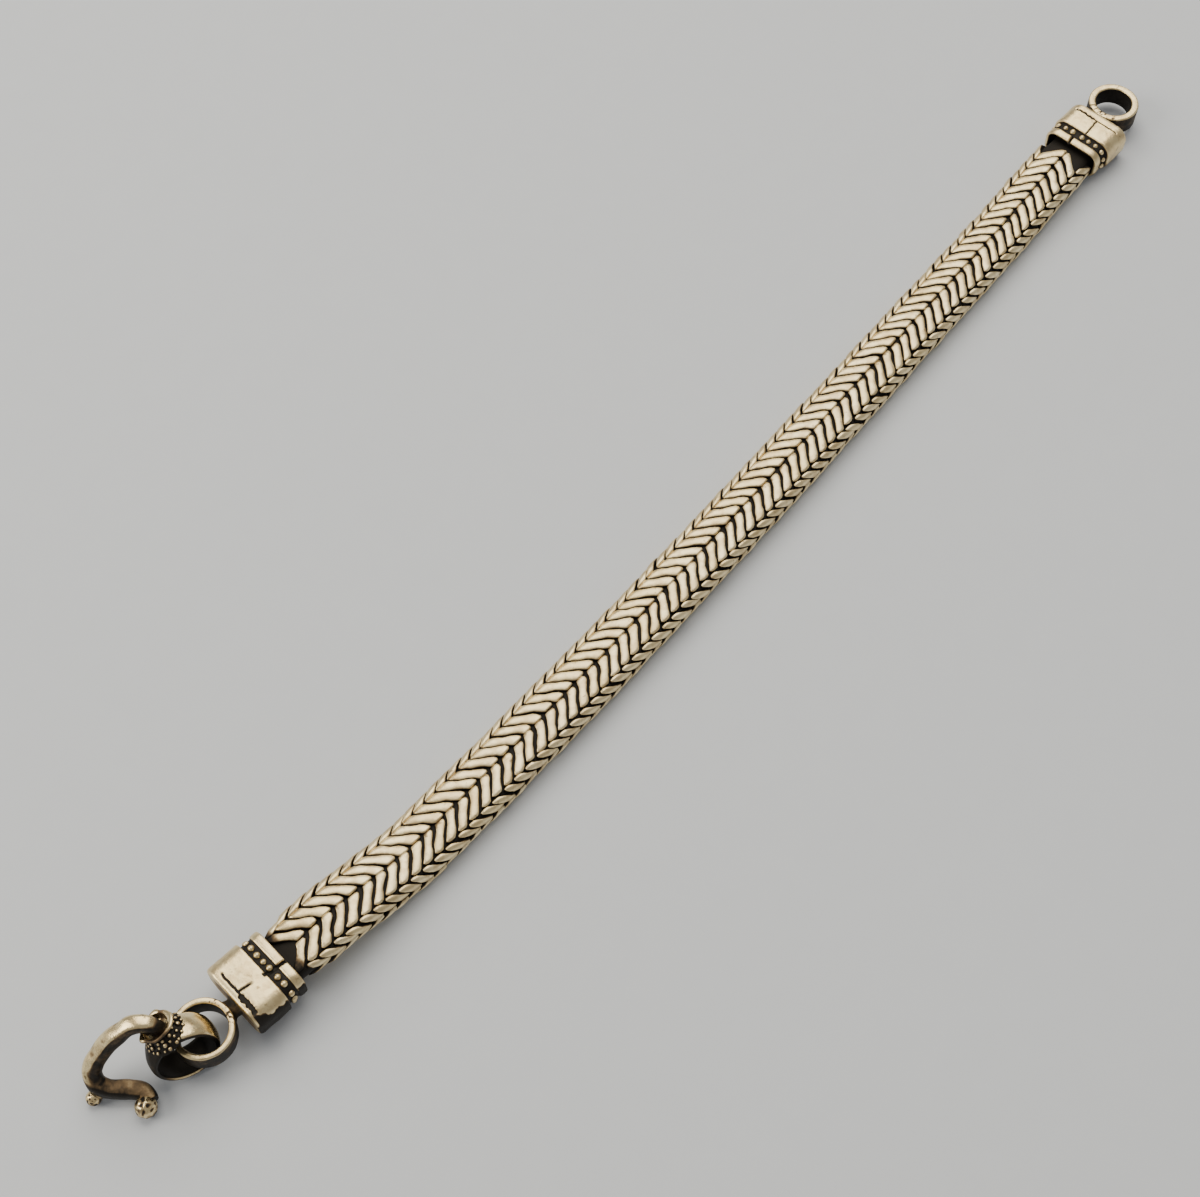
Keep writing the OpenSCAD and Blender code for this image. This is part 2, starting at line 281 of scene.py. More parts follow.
# The hook's wire from the collar to the tip, from the eye's middle:
# step, along, across, up, radius
WIRE_ROWS = (
    (0, -0.65, 1.70, 3.50, 1.00),
    (1, -0.76, 2.07, 4.40, 1.00),
    (2, -1.07, 2.68, 5.12, 1.02),
    (3, -1.70, 3.52, 5.42, 1.06),
    (4, -2.65, 4.38, 5.08, 1.10),
    (5, -3.85, 5.10, 4.15, 1.12),
    (6, -5.15, 5.70, 3.00, 1.10),
    (7, -6.50, 6.05, 1.75, 1.10),
    (8, -7.65, 6.15, 0.50, 1.12),
    (9, -8.55, 5.90, -0.70, 1.12),
    (10, -8.95, 5.00, -1.65, 1.15),
    (11, -8.60, 3.90, -2.25, 1.18),
    (12, -7.80, 2.90, -2.55, 1.18),
    (13, -6.95, 1.90, -2.75, 1.12),
    (14, -6.20, 0.80, -2.90, 1.05),
    (15, -6.12, -0.05, -2.93, 0.96),
    (16, -6.30, -0.78, -2.95, 0.88),
)
# The ball at the tip, the small ball and its stub to the bend, from the eye's middle
TIP_BALL = Vector((-7.15, -0.80, -2.85))
TIP_BALL_RADIUS = 1.35
BEND_BALL = Vector((-10.25, 4.60, -3.25))
BEND_BALL_RADIUS = 0.95
STUB_END = Vector((-8.90, 4.05, -2.50))
STUB_RADII = (0.50, 0.80)
STUB_WEAR = 0.6
# Step at which the wire starts, and how far across from the eye it has to be kept out of it
WIRE_START = 0.4
WIRE_NEAR_EYE = 2.5

# The collar stands on the eye: its way out, and its outline from the eye's middle as
# along, radius, wear
COLLAR_WAY = Vector((-0.16, 0.43, 0.89))
COLLAR_ROWS = (
    (3.20, 0.80, 0.0),
    (3.17, 1.90, 0.0),
    (3.15, 2.50, 0.1),
    (3.22, 2.59, 0.3),
    (3.40, 2.44, 0.1),
    (4.52, 1.58, 0.0),
    (4.66, 1.54, 0.1),
    (5.02, 1.72, 0.3),
    (5.14, 1.90, 0.8),
    (5.28, 2.00, 1.0),
    (5.42, 1.96, 1.0),
    (5.50, 1.82, 1.0),
    (5.46, 1.68, 0.9),
    (5.34, 1.62, 1.0),
    (5.10, 1.56, 1.0),
    (4.82, 1.40, 0.9),
    (4.75, 1.30, 0.9),
    (4.75, 0.60, 0.9),
)
# The cup's lip is thicker where it is rubbed: its lowest place along, its inner radius, how
# much it grows, the least share of wear round it, and the angle and half width of each spot
CUP_RIM = 5.12
CUP_INSIDE = 1.75
LIP_GROWTH = 0.28
LEAST_LIP_WEAR = 0.35
LIP_SPOTS = ((335, 70), (170, 26), (55, 26))
# Rings of granules on the collar: along, radius, granules, turn in granules
COLLAR_SPOTS = (
    (3.54, 2.30, 20, 0.0),
    (4.00, 1.95, 17, 0.5),
    (4.45, 1.61, 13, 0.0),
)

# How finely the forms are divided: in steps, in sides or by the longest step along
SECTION_STEPS = 240
CORE_STEPS = 170
CORE_QUARTER_STEPS = 6
LINE_STEPS = 400
CAP_STEP = 0.085
CAP_SIDES = 288
RING_SIDES = 120
RING_WALL_SIDES = 24
SOLDER_STEPS = 9
SOLDER_SIDES = 28
EYE_STEPS = 22
EYE_SIDES = 128
COLLAR_STEP = 0.15
COLLAR_SIDES = 80
BALL_STEPS = 22
BALL_SIDES = 32
STUB_STEPS = 8
STUB_SIDES = 24
WIRE_STEPS = 110

# The stage, in metres and degrees: the camera leans from straight down and turns round Z
CAMERA_PLACE = (-0.1132427, -0.0807784, 0.2253441)
CAMERA_TILT = 30.0032
CAMERA_HEADING = -49.52396
KEY_PLACE = (0.33, 0.30, 0.72)
KEY_SIZE = 0.85
SIDE_PLACE = (-0.45, 0.35, 0.35)
SIDE_SIZE = 0.35
FLOOR_HALF = 2.0
FLOOR_CORNERS = ((-1, -1), (1, -1), (1, 1), (-1, 1))


def last_row(rows, at):
    """Index of the row before a place, with a row left after it."""
    index = 0
    while index < len(rows) - 2 and rows[index + 1][0] < at:
        index += 1
    return index


def row_slope(rows, column, index):
    """Slope of a column at a row."""
    low, high = rows[max(index - 1, 0)], rows[min(index + 1, len(rows) - 1)]
    return (high[column] - low[column]) / (high[0] - low[0])


def on_curve(rows, column, at):
    """Value of a column at a place, on a smooth curve through the rows."""
    index = last_row(rows, at)
    span = rows[index + 1][0] - rows[index][0]
    t = (at - rows[index][0]) / span
    rise_in = row_slope(rows, column, index) * span
    rise_out = row_slope(rows, column, index + 1) * span
    step = rows[index + 1][column] - rows[index][column]
    return (
        rows[index][column]
        + rise_in * t
        + (3 * step - 2 * rise_in - rise_out) * t * t
        + (rise_in + rise_out - 2 * step) * t * t * t
    )


def dense_rows(rows, longest):
    """The rows with more between them, no further apart along than a length."""
    dense = []
    for low, high in zip(rows, rows[1:]):
        pieces = max(1, math.ceil(abs(high[0] - low[0]) / longest))
        for k in range(pieces):
            dense.append([a + (b - a) * k / pieces for a, b in zip(low, high)])
    dense.append(list(rows[-1]))
    return dense


def even_shares(count):
    """Even steps from 0 to 1."""
    return [i / count for i in range(count + 1)]


def round_turn(count, start=0.0):
    """Angles of even steps round a circle."""
    return [start + 2 * math.pi * i / count for i in range(count)]


def spoke(angle):
    """The way out from the middle of a circle round Z, at an angle."""
    return Vector((math.cos(angle), math.sin(angle), 0.0))


def smooth_step(t):
    """0 below 0, 1 above 1 and smooth between them."""
    t = min(max(t, 0.0), 1.0)
    return t * t * (3 - 2 * t)


def bump(distance, width):
    """1 at no distance, falling smoothly to 0 at the width."""
    return 1 - smooth_step(abs(distance) / width)


def wobble(x, y=0.0, z=0.0):
    """Smooth noise between -1 and 1 at a place in millimetres."""
    return noise.noise(Vector((x, y, z)))


def aim_matrix(way):
    """Turns +Z to point along a way."""
    return Vector((0, 0, 1)).rotation_difference(way).to_matrix()


def chain_side(x):
    """Sideways place of the chain's middle line before the frame's shift."""
    return on_curve(WANDER_ROWS, 1, x / HALF_CHAIN)


def chain_heading(x):
    """Heading of the chain's middle line in degrees."""
    return math.degrees(math.atan2(chain_side(x + 0.5) - chain_side(x - 0.5), 1.0))


def chain_middle(x):
    """Height of the chain's middle line, which climbs to the caps."""
    target = CAP_MIDDLE + (HOOK_END_LIFT if x < 0 else 0.0)
    climb = smooth_step((abs(x) - HALF_CHAIN + CLIMB_START) / CLIMB_LENGTH)
    return HALF_THICKNESS + (target - HALF_THICKNESS) * climb


def neck_share(x, share):
    """Share of the full size that is left where the band enters a cap."""
    return 1 - (1 - share) * smooth_step((abs(x) - HALF_CHAIN + NECK_START) / NECK_LENGTH)


def chain_point(x):
    """A point of the chain's middle line in the shared frame."""
    return Vector((x, chain_side(x), chain_middle(x))) + FRAME_SHIFT


def section_table():
    """Quarter of the band's section: distance round it, across, up, and the way out."""
    rows = []
    walked = 0.0
    before = Vector((0.0, HALF_THICKNESS))
    for share in even_shares(SECTION_STEPS):
        turn = math.pi / 2 * share
        across = HALF_WIDTH * math.sin(turn) ** 0.5
        up = HALF_THICKNESS * math.cos(turn) ** 0.5
        out = Vector((across ** 3 / HALF_WIDTH ** 4, up ** 3 / HALF_THICKNESS ** 4)).normalized()
        here = Vector((across, up))
        walked += (here - before).length
        before = here
        rows.append((walked, across, up, out[0], out[1]))
    return rows


SECTION = section_table()


def on_section(walked, depth):
    """Across and up at a distance round the band's quarter section, some way under its skin."""
    index = last_row(SECTION, walked)
    low, high = SECTION[index], SECTION[index + 1]
    t = min(max((walked - low[0]) / (high[0] - low[0]), 0.0), 1.0)
    across, up, out_across, out_up = (low[k] + (high[k] - low[k]) * t for k in range(1, 5))
    return across - out_across * depth, up - out_up * depth


def new_mesh(name, points, edges, faces, kept):
    """A mesh in metres that keeps a number or a vector at each point, by name."""
    mesh = bpy.data.meshes.new(name)
    mesh.from_pydata([p * MM for p in points], edges, faces)
    for key, values in kept.items():
        if isinstance(values[0], float):
            mesh.attributes.new(key, "FLOAT", "POINT").data.foreach_set("value", values)
        else:
            flat = [part for vector in values for part in vector]
            mesh.attributes.new(key, "FLOAT_VECTOR", "POINT").data.foreach_set("vector", flat)
    if faces:
        outward = bmesh.new()
        outward.from_mesh(mesh)
        bmesh.ops.recalc_face_normals(outward, faces=outward.faces)
        outward.to_mesh(mesh)
        outward.free()
    return mesh


def scene_object(mesh):
    """An object in the scene with the name of its mesh."""
    piece = bpy.data.objects.new(mesh.name, mesh)
    bpy.context.scene.collection.objects.link(piece)
    return piece


def spots_object(name, spots):
    """Loose points with the way out kept at each, for a node tree to read."""
    places, ways = zip(*spots)
    return scene_object(new_mesh(name, places, [], [], {"outward": ways}))


def line_object(name, points, kept):
    """A line of points with named numbers or vectors kept at each, for a node tree to read."""
    edges = [(i, i + 1) for i in range(len(points) - 1)]
    return scene_object(new_mesh(name, points, edges, [], kept))


class Metal:
    """Points, faces and wear of a piece while it is made, in millimetres."""

    def __init__(self):
        self.points = []
        self.faces = []
        self.wear = []

    def skin(self, rows, sides, point, ring=False):
        """Skin over loops, where a function gives the point and wear at a row and a side."""
        start = len(self.points)
        count = len(sides)
        for row in rows:
            for side in sides:
                place, share = point(row, side)
                self.points.append(place)
                self.wear.append(share)
        for i in range(len(rows) if ring else len(rows) - 1):
            low = start + i * count
            high = start + (i + 1) % len(rows) * count
            for j in range(count):
                k = (j + 1) % count
                self.faces.append((low + j, low + k, high + k, high + j))
        if not ring:
            self.close(start, count, flip=True)
            self.close(start + (len(rows) - 1) * count, count, flip=False)

    def close(self, first, count, flip):
        """Closes an end loop with a fan of faces round its middle."""
        loop = self.points[first:first + count]
        pole = len(self.points)
        self.points.append(sum(loop, Vector()) / count)
        self.wear.append(self.wear[first])
        for j in range(count):
            a, b = first + j, first + (j + 1) % count
            self.faces.append((pole, b, a) if flip else (pole, a, b))

    def to_object(self, name):
        """A smooth object with its faces turned outwards and its wear as an attribute."""
        mesh = new_mesh(name, self.points, [], self.faces, {"wear": self.wear})
        mesh.shade_smooth()
        return scene_object(mesh)


class Nodes:
    """Short calls for adding and joining the nodes of a tree."""

    def __init__(self, tree):
        self.tree = tree

    def add(self, kind, values=None, **settings):
        """A node with its settings, and its inputs set from values or joined to sockets."""
        node = self.tree.nodes.new(kind)
        for key, value in settings.items():
            setattr(node, key, value)
        for key, value in (values or {}).items():
            self.feed(node.inputs[key], value)
        return node

    def feed(self, socket, value):
        """Joins a socket to another one, or sets its value."""
        if isinstance(value, bpy.types.NodeSocket):
            self.tree.links.new(value, socket)
        else:
            socket.default_value = value

    def made(self, kind, values=None, **settings):
        """First output of a new node."""
        return self.add(kind, values, **settings).outputs[0]

    def work(self, kind, *numbers):
        """A sum on one or two numbers."""
        return self.made("ShaderNodeMath", dict(enumerate(numbers)), operation=kind)

    def ranged(self, value, low, high, out_low=0.0, out_high=1.0, curve="SMOOTHSTEP"):
        """A number brought from one range to another, and held inside it."""
        return self.made("ShaderNodeMapRange", {
            "Value": value, "From Min": low, "From Max": high,
            "To Min": out_low, "To Max": out_high,
        }, interpolation_type=curve)

    def mixed(self, share, first, second):
        """A mix of two colours."""
        node = self.add("ShaderNodeMix", data_type="RGBA")
        self.feed(node.inputs[0], share)
        colours = [s for s in node.inputs if s.type == "RGBA"]
        self.feed(colours[0], first)
        self.feed(colours[1], second)
        return next(s for s in node.outputs if s.type == "RGBA")

    def kept(self, name, kind="FLOAT"):
        """A number or vector that is kept at each point of a mesh, in a geometry tree."""
        node = self.add("GeometryNodeInputNamedAttribute", {"Name": name}, data_type=kind)
        return node.outputs["Attribute"]

    def keep(self, geometry, name, value, domain="POINT"):
        """The geometry with a number kept on it."""
        return self.made(
            "GeometryNodeStoreNamedAttribute",
            {"Geometry": geometry, "Name": name, "Value": value},
            data_type="FLOAT", domain=domain)

    def random(self, kind, low, high, seed):
        """A random number or vector for each point or instance."""
        node = self.add("FunctionNodeRandomValue", data_type=kind)
        limits = [s for s in node.inputs if s.enabled and s.name in ("Min", "Max")]
        self.feed(limits[0], low)
        self.feed(limits[1], high)
        self.feed(next(s for s in node.inputs if s.name == "Seed"), seed)
        return next(s for s in node.outputs if s.enabled)

    def either_way(self, limit, seed):
        """A random vector with each of its parts between minus and plus a limit."""
        most = self.made("ShaderNodeCombineXYZ", {"X": limit, "Y": limit, "Z": limit})
        least = self.made("ShaderNodeVectorMath", {0: most, "Scale": -1.0}, operation="SCALE")
        return self.random("FLOAT_VECTOR", least, most, seed)

    def joined(self, *parts):
        """Several geometries as one."""
        node = self.add("GeometryNodeJoinGeometry")
        for part in parts:
            self.feed(node.inputs[0], part)
        return node.outputs[0]

    def finished(self, geometry, metal):
        """Ends a tree with smooth shading and its metal."""
        smooth = self.made("GeometryNodeSetShadeSmooth", {"Geometry": geometry})
        dressed = self.made("GeometryNodeSetMaterial", {"Geometry": smooth, "Material": metal})
        self.add("NodeGroupOutput", {"Geometry": dressed})
        return self.tree


def new_tree(name, inputs):
    """Starts a geometry tree: its nodes, and the sockets that give its named inputs."""
    tree = bpy.data.node_groups.new(name, "GeometryNodeTree")
    for label, kind, value in inputs:
        socket = tree.interface.new_socket(label, in_out="INPUT", socket_type=kind)
        if value is not None:
            socket.default_value = value
    tree.interface.new_socket("Geometry", in_out="OUTPUT", socket_type="NodeSocketGeometry")
    nodes = Nodes(tree)
    return nodes, nodes.add("NodeGroupInput").outputs


def bar_column_tree():
    """Tree that sets one bar of every link along a line, each a little different."""
    nodes, given = new_tree("Bars along a line", (
        ("Points", "NodeSocketGeometry", None),
        ("Along", "NodeSocketVector", None),
        ("Bars", "NodeSocketCollection", None),
        ("Tilt", "NodeSocketFloat", 0.025),
        ("Shift", "NodeSocketFloat", 0.04 * MM),
        ("Seed", "NodeSocketInt", 1),
    ))
    bars = nodes.made("GeometryNodeCollectionInfo", {
        "Collection": given["Bars"], "Separate Children": True, "Reset Children": True})
    heading = nodes.made("FunctionNodeAlignRotationToVector", {"Vector": given["Along"]}, axis="X")
    placed = nodes.made("GeometryNodeInstanceOnPoints", {
        "Points": given["Points"],
        "Instance": bars,
        "Pick Instance": True,
        "Instance Index": nodes.random("INT", 0, BAR_SHAPES - 1, given["Seed"]),
        "Rotation": heading,
        "Scale": nodes.kept("neck", "FLOAT_VECTOR"),
    })
    turned = nodes.made("GeometryNodeRotateInstances", {
        "Instances": placed, "Rotation": nodes.either_way(given["Tilt"], given["Seed"])})
    moved = nodes.made("GeometryNodeTranslateInstances", {
        "Instances": turned, "Translation": nodes.either_way(given["Shift"], given["Seed"])})
    tone = nodes.random("FLOAT", 0.0, 1.0, given["Seed"])
    nodes.add("NodeGroupOutput", {"Geometry": nodes.keep(moved, "tone", tone, "INSTANCE")})
    return nodes.tree


def weave_tree(columns):
    """Tree that sets every column's bars along the chain's line and joins them to the core."""
    nodes, given = new_tree("Woven links", (
        ("Core", "NodeSocketGeometry", None),
        ("Line", "NodeSocketObject", None),
        ("Links", "NodeSocketInt", 81),
        ("Tilt", "NodeSocketFloat", 0.025),
        ("Shift", "NodeSocketFloat", 0.04 * MM),
        ("Waves", "NodeSocketFloat", 0.7 * MM),
        ("Metal", "NodeSocketMaterial", None),
    ) + tuple((name, "NodeSocketCollection", None) for name in columns))
    line = nodes.add("GeometryNodeObjectInfo", {"Object": given["Line"]}).outputs["Geometry"]
    curve = nodes.made("GeometryNodeMeshToCurve", {"Mesh": line})
    points = nodes.add("GeometryNodeCurveToPoints", {
        "Curve": curve, "Count": given["Links"]}, mode="COUNT").outputs
    column_tree = bar_column_tree()
    bars = [
        nodes.made("GeometryNodeGroup", {
            "Points": points["Points"], "Along": points["Tangent"], "Bars": given[name],
            "Tilt": given["Tilt"], "Shift": given["Shift"], "Seed": seed,
        }, node_tree=column_tree)
        for seed, name in enumerate(columns, 1)
    ]
    real = nodes.made("GeometryNodeRealizeInstances", {"Geometry": nodes.joined(*bars)})
    waves = nodes.add("ShaderNodeTexNoise", {
        "Vector": nodes.made("GeometryNodeInputPosition"),
        "Scale": WAVES_PER_MM / MM, "Detail": 1.0, "Roughness": 0.5}).outputs["Color"]
    level = nodes.made("ShaderNodeVectorMath", {0: waves, 1: (0.5, 0.5, 0.5)}, operation="SUBTRACT")
    reach = nodes.made("ShaderNodeCombineXYZ", {"X": given["Waves"]})
    drift = nodes.made("ShaderNodeVectorMath", {0: level, 1: reach}, operation="MULTIPLY")
    waved = nodes.made("GeometryNodeSetPosition", {"Geometry": real, "Offset": drift})
    return nodes.finished(nodes.joined(waved, given["Core"]), given["Metal"])


def granule_tree():
    """Tree that solders granules on marked spots of a piece."""
    nodes, given = new_tree("Granules on spots", (
        ("Piece", "NodeSocketGeometry", None),
        ("Spots", "NodeSocketObject", None),
        ("Radius", "NodeSocketFloat", 0.42 * MM),
        ("Variation", "NodeSocketFloat", 0.12),
        ("Worn from", "NodeSocketFloat", -0.05),
        ("Worn to", "NodeSocketFloat", 0.5),
        ("Seed", "NodeSocketInt", 1),
        ("Metal", "NodeSocketMaterial", None),
    ))
    spots = nodes.add("GeometryNodeObjectInfo", {"Object": given["Spots"]}).outputs["Geometry"]
    ball = nodes.made("GeometryNodeMeshIcoSphere", {"Radius": 1.0, "Subdivisions": 3})
    place = nodes.made("GeometryNodeInputPosition")
    height = nodes.add("ShaderNodeSeparateXYZ", {0: place}).outputs["Z"]
    worn = nodes.ranged(height, given["Worn from"], given["Worn to"], curve="LINEAR")
    heading = nodes.made("FunctionNodeAlignRotationToVector", {
        "Vector": nodes.kept("outward", "FLOAT_VECTOR")}, axis="Z")
    least = nodes.work("SUBTRACT", 1.0, given["Variation"])
    most = nodes.work("ADD", 1.0, given["Variation"])
    share = nodes.random("FLOAT", least, most, given["Seed"])
    placed = nodes.made("GeometryNodeInstanceOnPoints", {
        "Points": spots,
        "Instance": nodes.keep(ball, "wear", worn),
        "Rotation": heading,
        "Scale": nodes.work("MULTIPLY", share, given["Radius"]),
    })
    real = nodes.made("GeometryNodeRealizeInstances", {"Geometry": placed})
    return nodes.finished(nodes.joined(real, given["Piece"]), given["Metal"])


def squared_circle(nodes, sides, squareness):
    """A circle of radius 1 whose sides are flattened, as the section of a hammered wire."""
    circle = nodes.made("GeometryNodeCurvePrimitiveCircle", {
        "Resolution": sides, "Radius": 1.0}, mode="RADIUS")
    place = nodes.made("GeometryNodeInputPosition")
    parts = nodes.add("ShaderNodeSeparateXYZ", {0: place}).outputs
    corner = {}
    for axis in ("X", "Y"):
        reach = nodes.work("POWER", nodes.work("ABSOLUTE", parts[axis]), squareness)
        corner[axis] = nodes.work("MULTIPLY", reach, nodes.work("SIGN", parts[axis]))
    return nodes.made("GeometryNodeSetPosition", {
        "Geometry": circle, "Position": nodes.made("ShaderNodeCombineXYZ", corner)})


def hammered_wire_tree():
    """Tree that draws a wire of changing thickness along a line and hammers it."""
    nodes, given = new_tree("Hammered wire", (
        ("Line", "NodeSocketGeometry", None),
        ("Sides", "NodeSocketInt", 36),
        ("Squareness", "NodeSocketFloat", 0.7),
        ("Dent spacing", "NodeSocketFloat", 2.2 * MM),
        ("Dent depth", "NodeSocketFloat", 0.18 * MM),
        ("Seed", "NodeSocketFloat", 3.0),
        ("Metal", "NodeSocketMaterial", None),
    ))
    curve = nodes.made("GeometryNodeMeshToCurve", {"Mesh": given["Line"]})
    upright = nodes.made("GeometryNodeSetCurveNormal", {"Curve": curve}, mode="Z_UP")
    swept = nodes.made("GeometryNodeCurveToMesh", {
        "Curve": upright,
        "Profile Curve": squared_circle(nodes, given["Sides"], given["Squareness"]),
        "Scale": nodes.kept("thick"),
        "Fill Caps": True,
    })
    dents = nodes.made("ShaderNodeTexVoronoi", {
        "Vector": nodes.made("GeometryNodeInputPosition"),
        "W": given["Seed"],
        "Scale": nodes.work("DIVIDE", 1.0, given["Dent spacing"]),
    }, voronoi_dimensions="4D", feature="SMOOTH_F1")
    high = nodes.ranged(dents, 0.15, 0.75, -1.0, 0.35, curve="LINEAR")
    offset = nodes.made("ShaderNodeVectorMath", {
        0: nodes.made("GeometryNodeInputNormal"),
        "Scale": nodes.work("MULTIPLY", high, given["Dent depth"]),
    }, operation="SCALE")
    beaten = nodes.made("GeometryNodeSetPosition", {"Geometry": swept, "Offset": offset})
    worn = nodes.ranged(dents, 0.1, 0.5, 0.42, 1.0, curve="LINEAR")
    left = nodes.work("MULTIPLY", worn, nodes.kept("rubbed"))
    return nodes.finished(nodes.keep(beaten, "wear", left), given["Metal"])


def run_tree(piece, tree, values, helpers=()):
    """Runs a tree on a piece, keeps its result as a plain mesh and clears what it read."""
    modifier = piece.modifiers.new(tree.name, "NODES")
    modifier.node_group = tree
    keys = {
        item.name: item.identifier
        for item in tree.interface.items_tree
        if item.item_type == "SOCKET" and item.in_out == "INPUT"
    }
    for label, value in values.items():
        modifier[keys[label]] = value
    bpy.context.view_layer.update()
    depsgraph = bpy.context.evaluated_depsgraph_get()
    made = bpy.data.meshes.new_from_object(piece.evaluated_get(depsgraph), depsgraph=depsgraph)
    piece.modifiers.remove(modifier)
    old = piece.data
    piece.data = made
    made.name = piece.name
    if old.users == 0:
        bpy.data.meshes.remove(old)
    for helper in helpers:
        bpy.data.objects.remove(helper)
    if len(made.polygons) == 0:
        raise RuntimeError(piece.name + " came out empty")
    return piece


def paint_shade_facing_away(piece, way, low, high, least):
    """Takes wear off the skin that faces away from a way: painted shade on the sides that face away
    from the light.
    """
    mesh = piece.data
    wear = mesh.attributes["wear"].data
    bright_way = Vector(way).normalized()
    for vertex in mesh.vertices:
        facing = smooth_step((vertex.normal.dot(bright_way) - low) / (high - low))
        wear[vertex.index].value *= least + (1 - least) * facing


def finish_piece(piece, body, nodes):
    """Keeps a piece on the floor, sets it on the body that it rides on and hides the solids that it
    stands in for.
    """
    for vertex in piece.data.vertices:
        vertex.co.z = max(vertex.co.z, 0.0)
    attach(piece, body)
    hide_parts(*nodes)


def shader_of(material):
    """The main shader of a new material."""
    material.use_nodes = True
    return next(n for n in material.node_tree.nodes if n.type == "BSDF_PRINCIPLED")


def silver_material(name, finish, rough, stains, darkness, shaded_ends=False):
    """Worn silver: bright where it is rubbed, dark oxide in the hollows, brown stains between; its
    wear also carries painted shade.
    """
    material = bpy.data.materials.new(name)
    shader = shader_of(material)
    nodes = Nodes(material.node_tree)
    work, ranged, mixed = nodes.work, nodes.ranged, nodes.mixed
    place = nodes.add("ShaderNodeTexCoord").outputs["Object"]
    millimetres = nodes.made("ShaderNodeMapping", {"Vector": place, "Scale": (1 / MM,) * 3})

    def cloud(scale, detail, harshness):
        """Noise at a scale per millimetre."""
        return nodes.made("ShaderNodeTexNoise", {
            "Vector": millimetres, "Scale": scale, "Detail": detail, "Roughness": harshness})

    def kept(key):
        """A number that is kept at each point of the mesh."""
        return nodes.add("ShaderNodeAttribute", attribute_name=key).outputs["Fac"]

    broad = cloud(0.35, 2.0, 0.5)
    patchy = cloud(1.1, 4.0, 0.6)
    fine = cloud(5.5, 3.0, 0.6)
    wear = kept("wear")
    # Near its ends, where the chain runs into the caps' mouths, its wear falls away: painted shade.
    if shaded_ends:
        along = nodes.made("ShaderNodeSeparateXYZ", {0: millimetres})
        away = work("ABSOLUTE", work("SUBTRACT", along, FRAME_SHIFT.x))
        wear = work("MULTIPLY", wear, ranged(away, HALF_CHAIN - 2.2, HALF_CHAIN - 0.4, 1.0, 0.25))
    rubbed = work("ADD", wear, work("MULTIPLY", work("SUBTRACT", patchy, 0.5), 0.55))
    bright = ranged(rubbed, 0.44, 0.74)

    tones = work("ADD", work("MULTIPLY", broad, 0.6), work("MULTIPLY", kept("tone"), 0.4))
    silver = mixed(ranged(tones, 0.25, 0.75), finish.shade_colour[:], finish.silver_colour[:])
    warmed = ranged(cloud(0.8, 3.0, 0.55), 0.42, 0.64, 0.0, 0.55)
    silver = mixed(warmed, silver, finish.warm_colour[:])
    blotches = work("ADD", patchy, work("MULTIPLY", kept("stain"), 0.3))
    blotches = work("ADD", blotches, work("MULTIPLY", fine, 0.15))
    stained = ranged(blotches, 0.80 - stains, 0.95 - stains)
    silver = mixed(work("MULTIPLY", stained, 0.8), silver, finish.stain_colour[:])
    specks = ranged(fine, 0.70, 0.80)
    silver = mixed(work("MULTIPLY", specks, darkness), silver, finish.oxide_colour[:])
    browned = mixed(ranged(rubbed, 0.20, 0.52), finish.oxide_colour[:], finish.stain_colour[:])
    nodes.feed(shader.inputs["Base Color"], mixed(bright, browned, silver))

    nodes.feed(shader.inputs["Metallic"], ranged(bright, 0.0, 1.0, 0.6, 1.0))
    dull = work("ADD", work("MULTIPLY", broad, 0.14), work("MULTIPLY", fine, 0.10))
    dull = work("ADD", dull, rough - 0.12)
    nodes.feed(shader.inputs["Roughness"], work("ADD", dull, ranged(bright, 0.0, 1.0, 0.25, 0.0)))
    height = work("ADD", work("MULTIPLY", patchy, 0.8), work("MULTIPLY", fine, 0.3))
    relief = nodes.made("ShaderNodeBump", {
        "Strength": 0.8, "Distance": 0.06 * MM, "Height": height})
    nodes.feed(shader.inputs["Normal"], relief)
    return material


def bar_mesh(rows, side, level, shape, stain):
    """One closed bar of a link on the band's skin; side is 1 to the left, level 1 above."""
    stations = [(rows[0], True)] + [(row, False) for row in rows] + [(rows[-1], True)]
    points, wear, stains = [], [], []
    for index, ((walked, trail, lead), end) in enumerate(stations):
        place = max(0, min(index - 1, len(rows) - 1))
        at_end = place in (0, len(rows) - 1)
        low, high = (
            edge + 0.08 * wobble(walked * 1.3, shape * 7.1 + k * 3.3, side * 2.7 + level)
            for k, edge in enumerate((trail, lead)))
        for share, depth, rubbed in BAR_SECTION:
            sunk = BAR_DEPTH if end else depth + (END_DIP if at_end else 0.0)
            across, up = on_section(walked, min(sunk, BAR_DEPTH))
            points.append(Vector((low + (high - low) * share, side * across, level * up)))
            wear.append(0.0 if end else rubbed * (0.7 if at_end else 1.0))
            stains.append(stain * max(0.0, 1 - place / STAINED_ROWS))
    count = len(BAR_SECTION)
    last = len(stations) - 1
    faces = [
        (i * count + j, i * count + j + 1, (i + 1) * count + j + 1, (i + 1) * count + j)
        for i in range(last) for j in range(count - 1)
    ]
    underside = list(range(count))
    underside += [i * count + count - 1 for i in range(1, last + 1)]
    underside += [last * count + j for j in range(count - 2, -1, -1)]
    underside += [i * count for i in range(last - 1, 0, -1)]
    faces.append(tuple(underside))
    return new_mesh("bar", points, [], faces, {"wear": wear, "stain": stains})


def bar_shelves():
    """A collection for each column of bars, with the few shapes that its bars take."""
    shelves = {}
    for level_name, level in (("upper", 1), ("lower", -1)):
        for column, rows, side, stain in COLUMNS:
            name = level_name + " " + column
            shelves[name] = bpy.data.collections.new(name)
            for shape in range(BAR_SHAPES):
                bar = bpy.data.objects.new("bar", bar_mesh(rows, side, level, shape, stain))
                shelves[name].objects.link(bar)
    return shelves


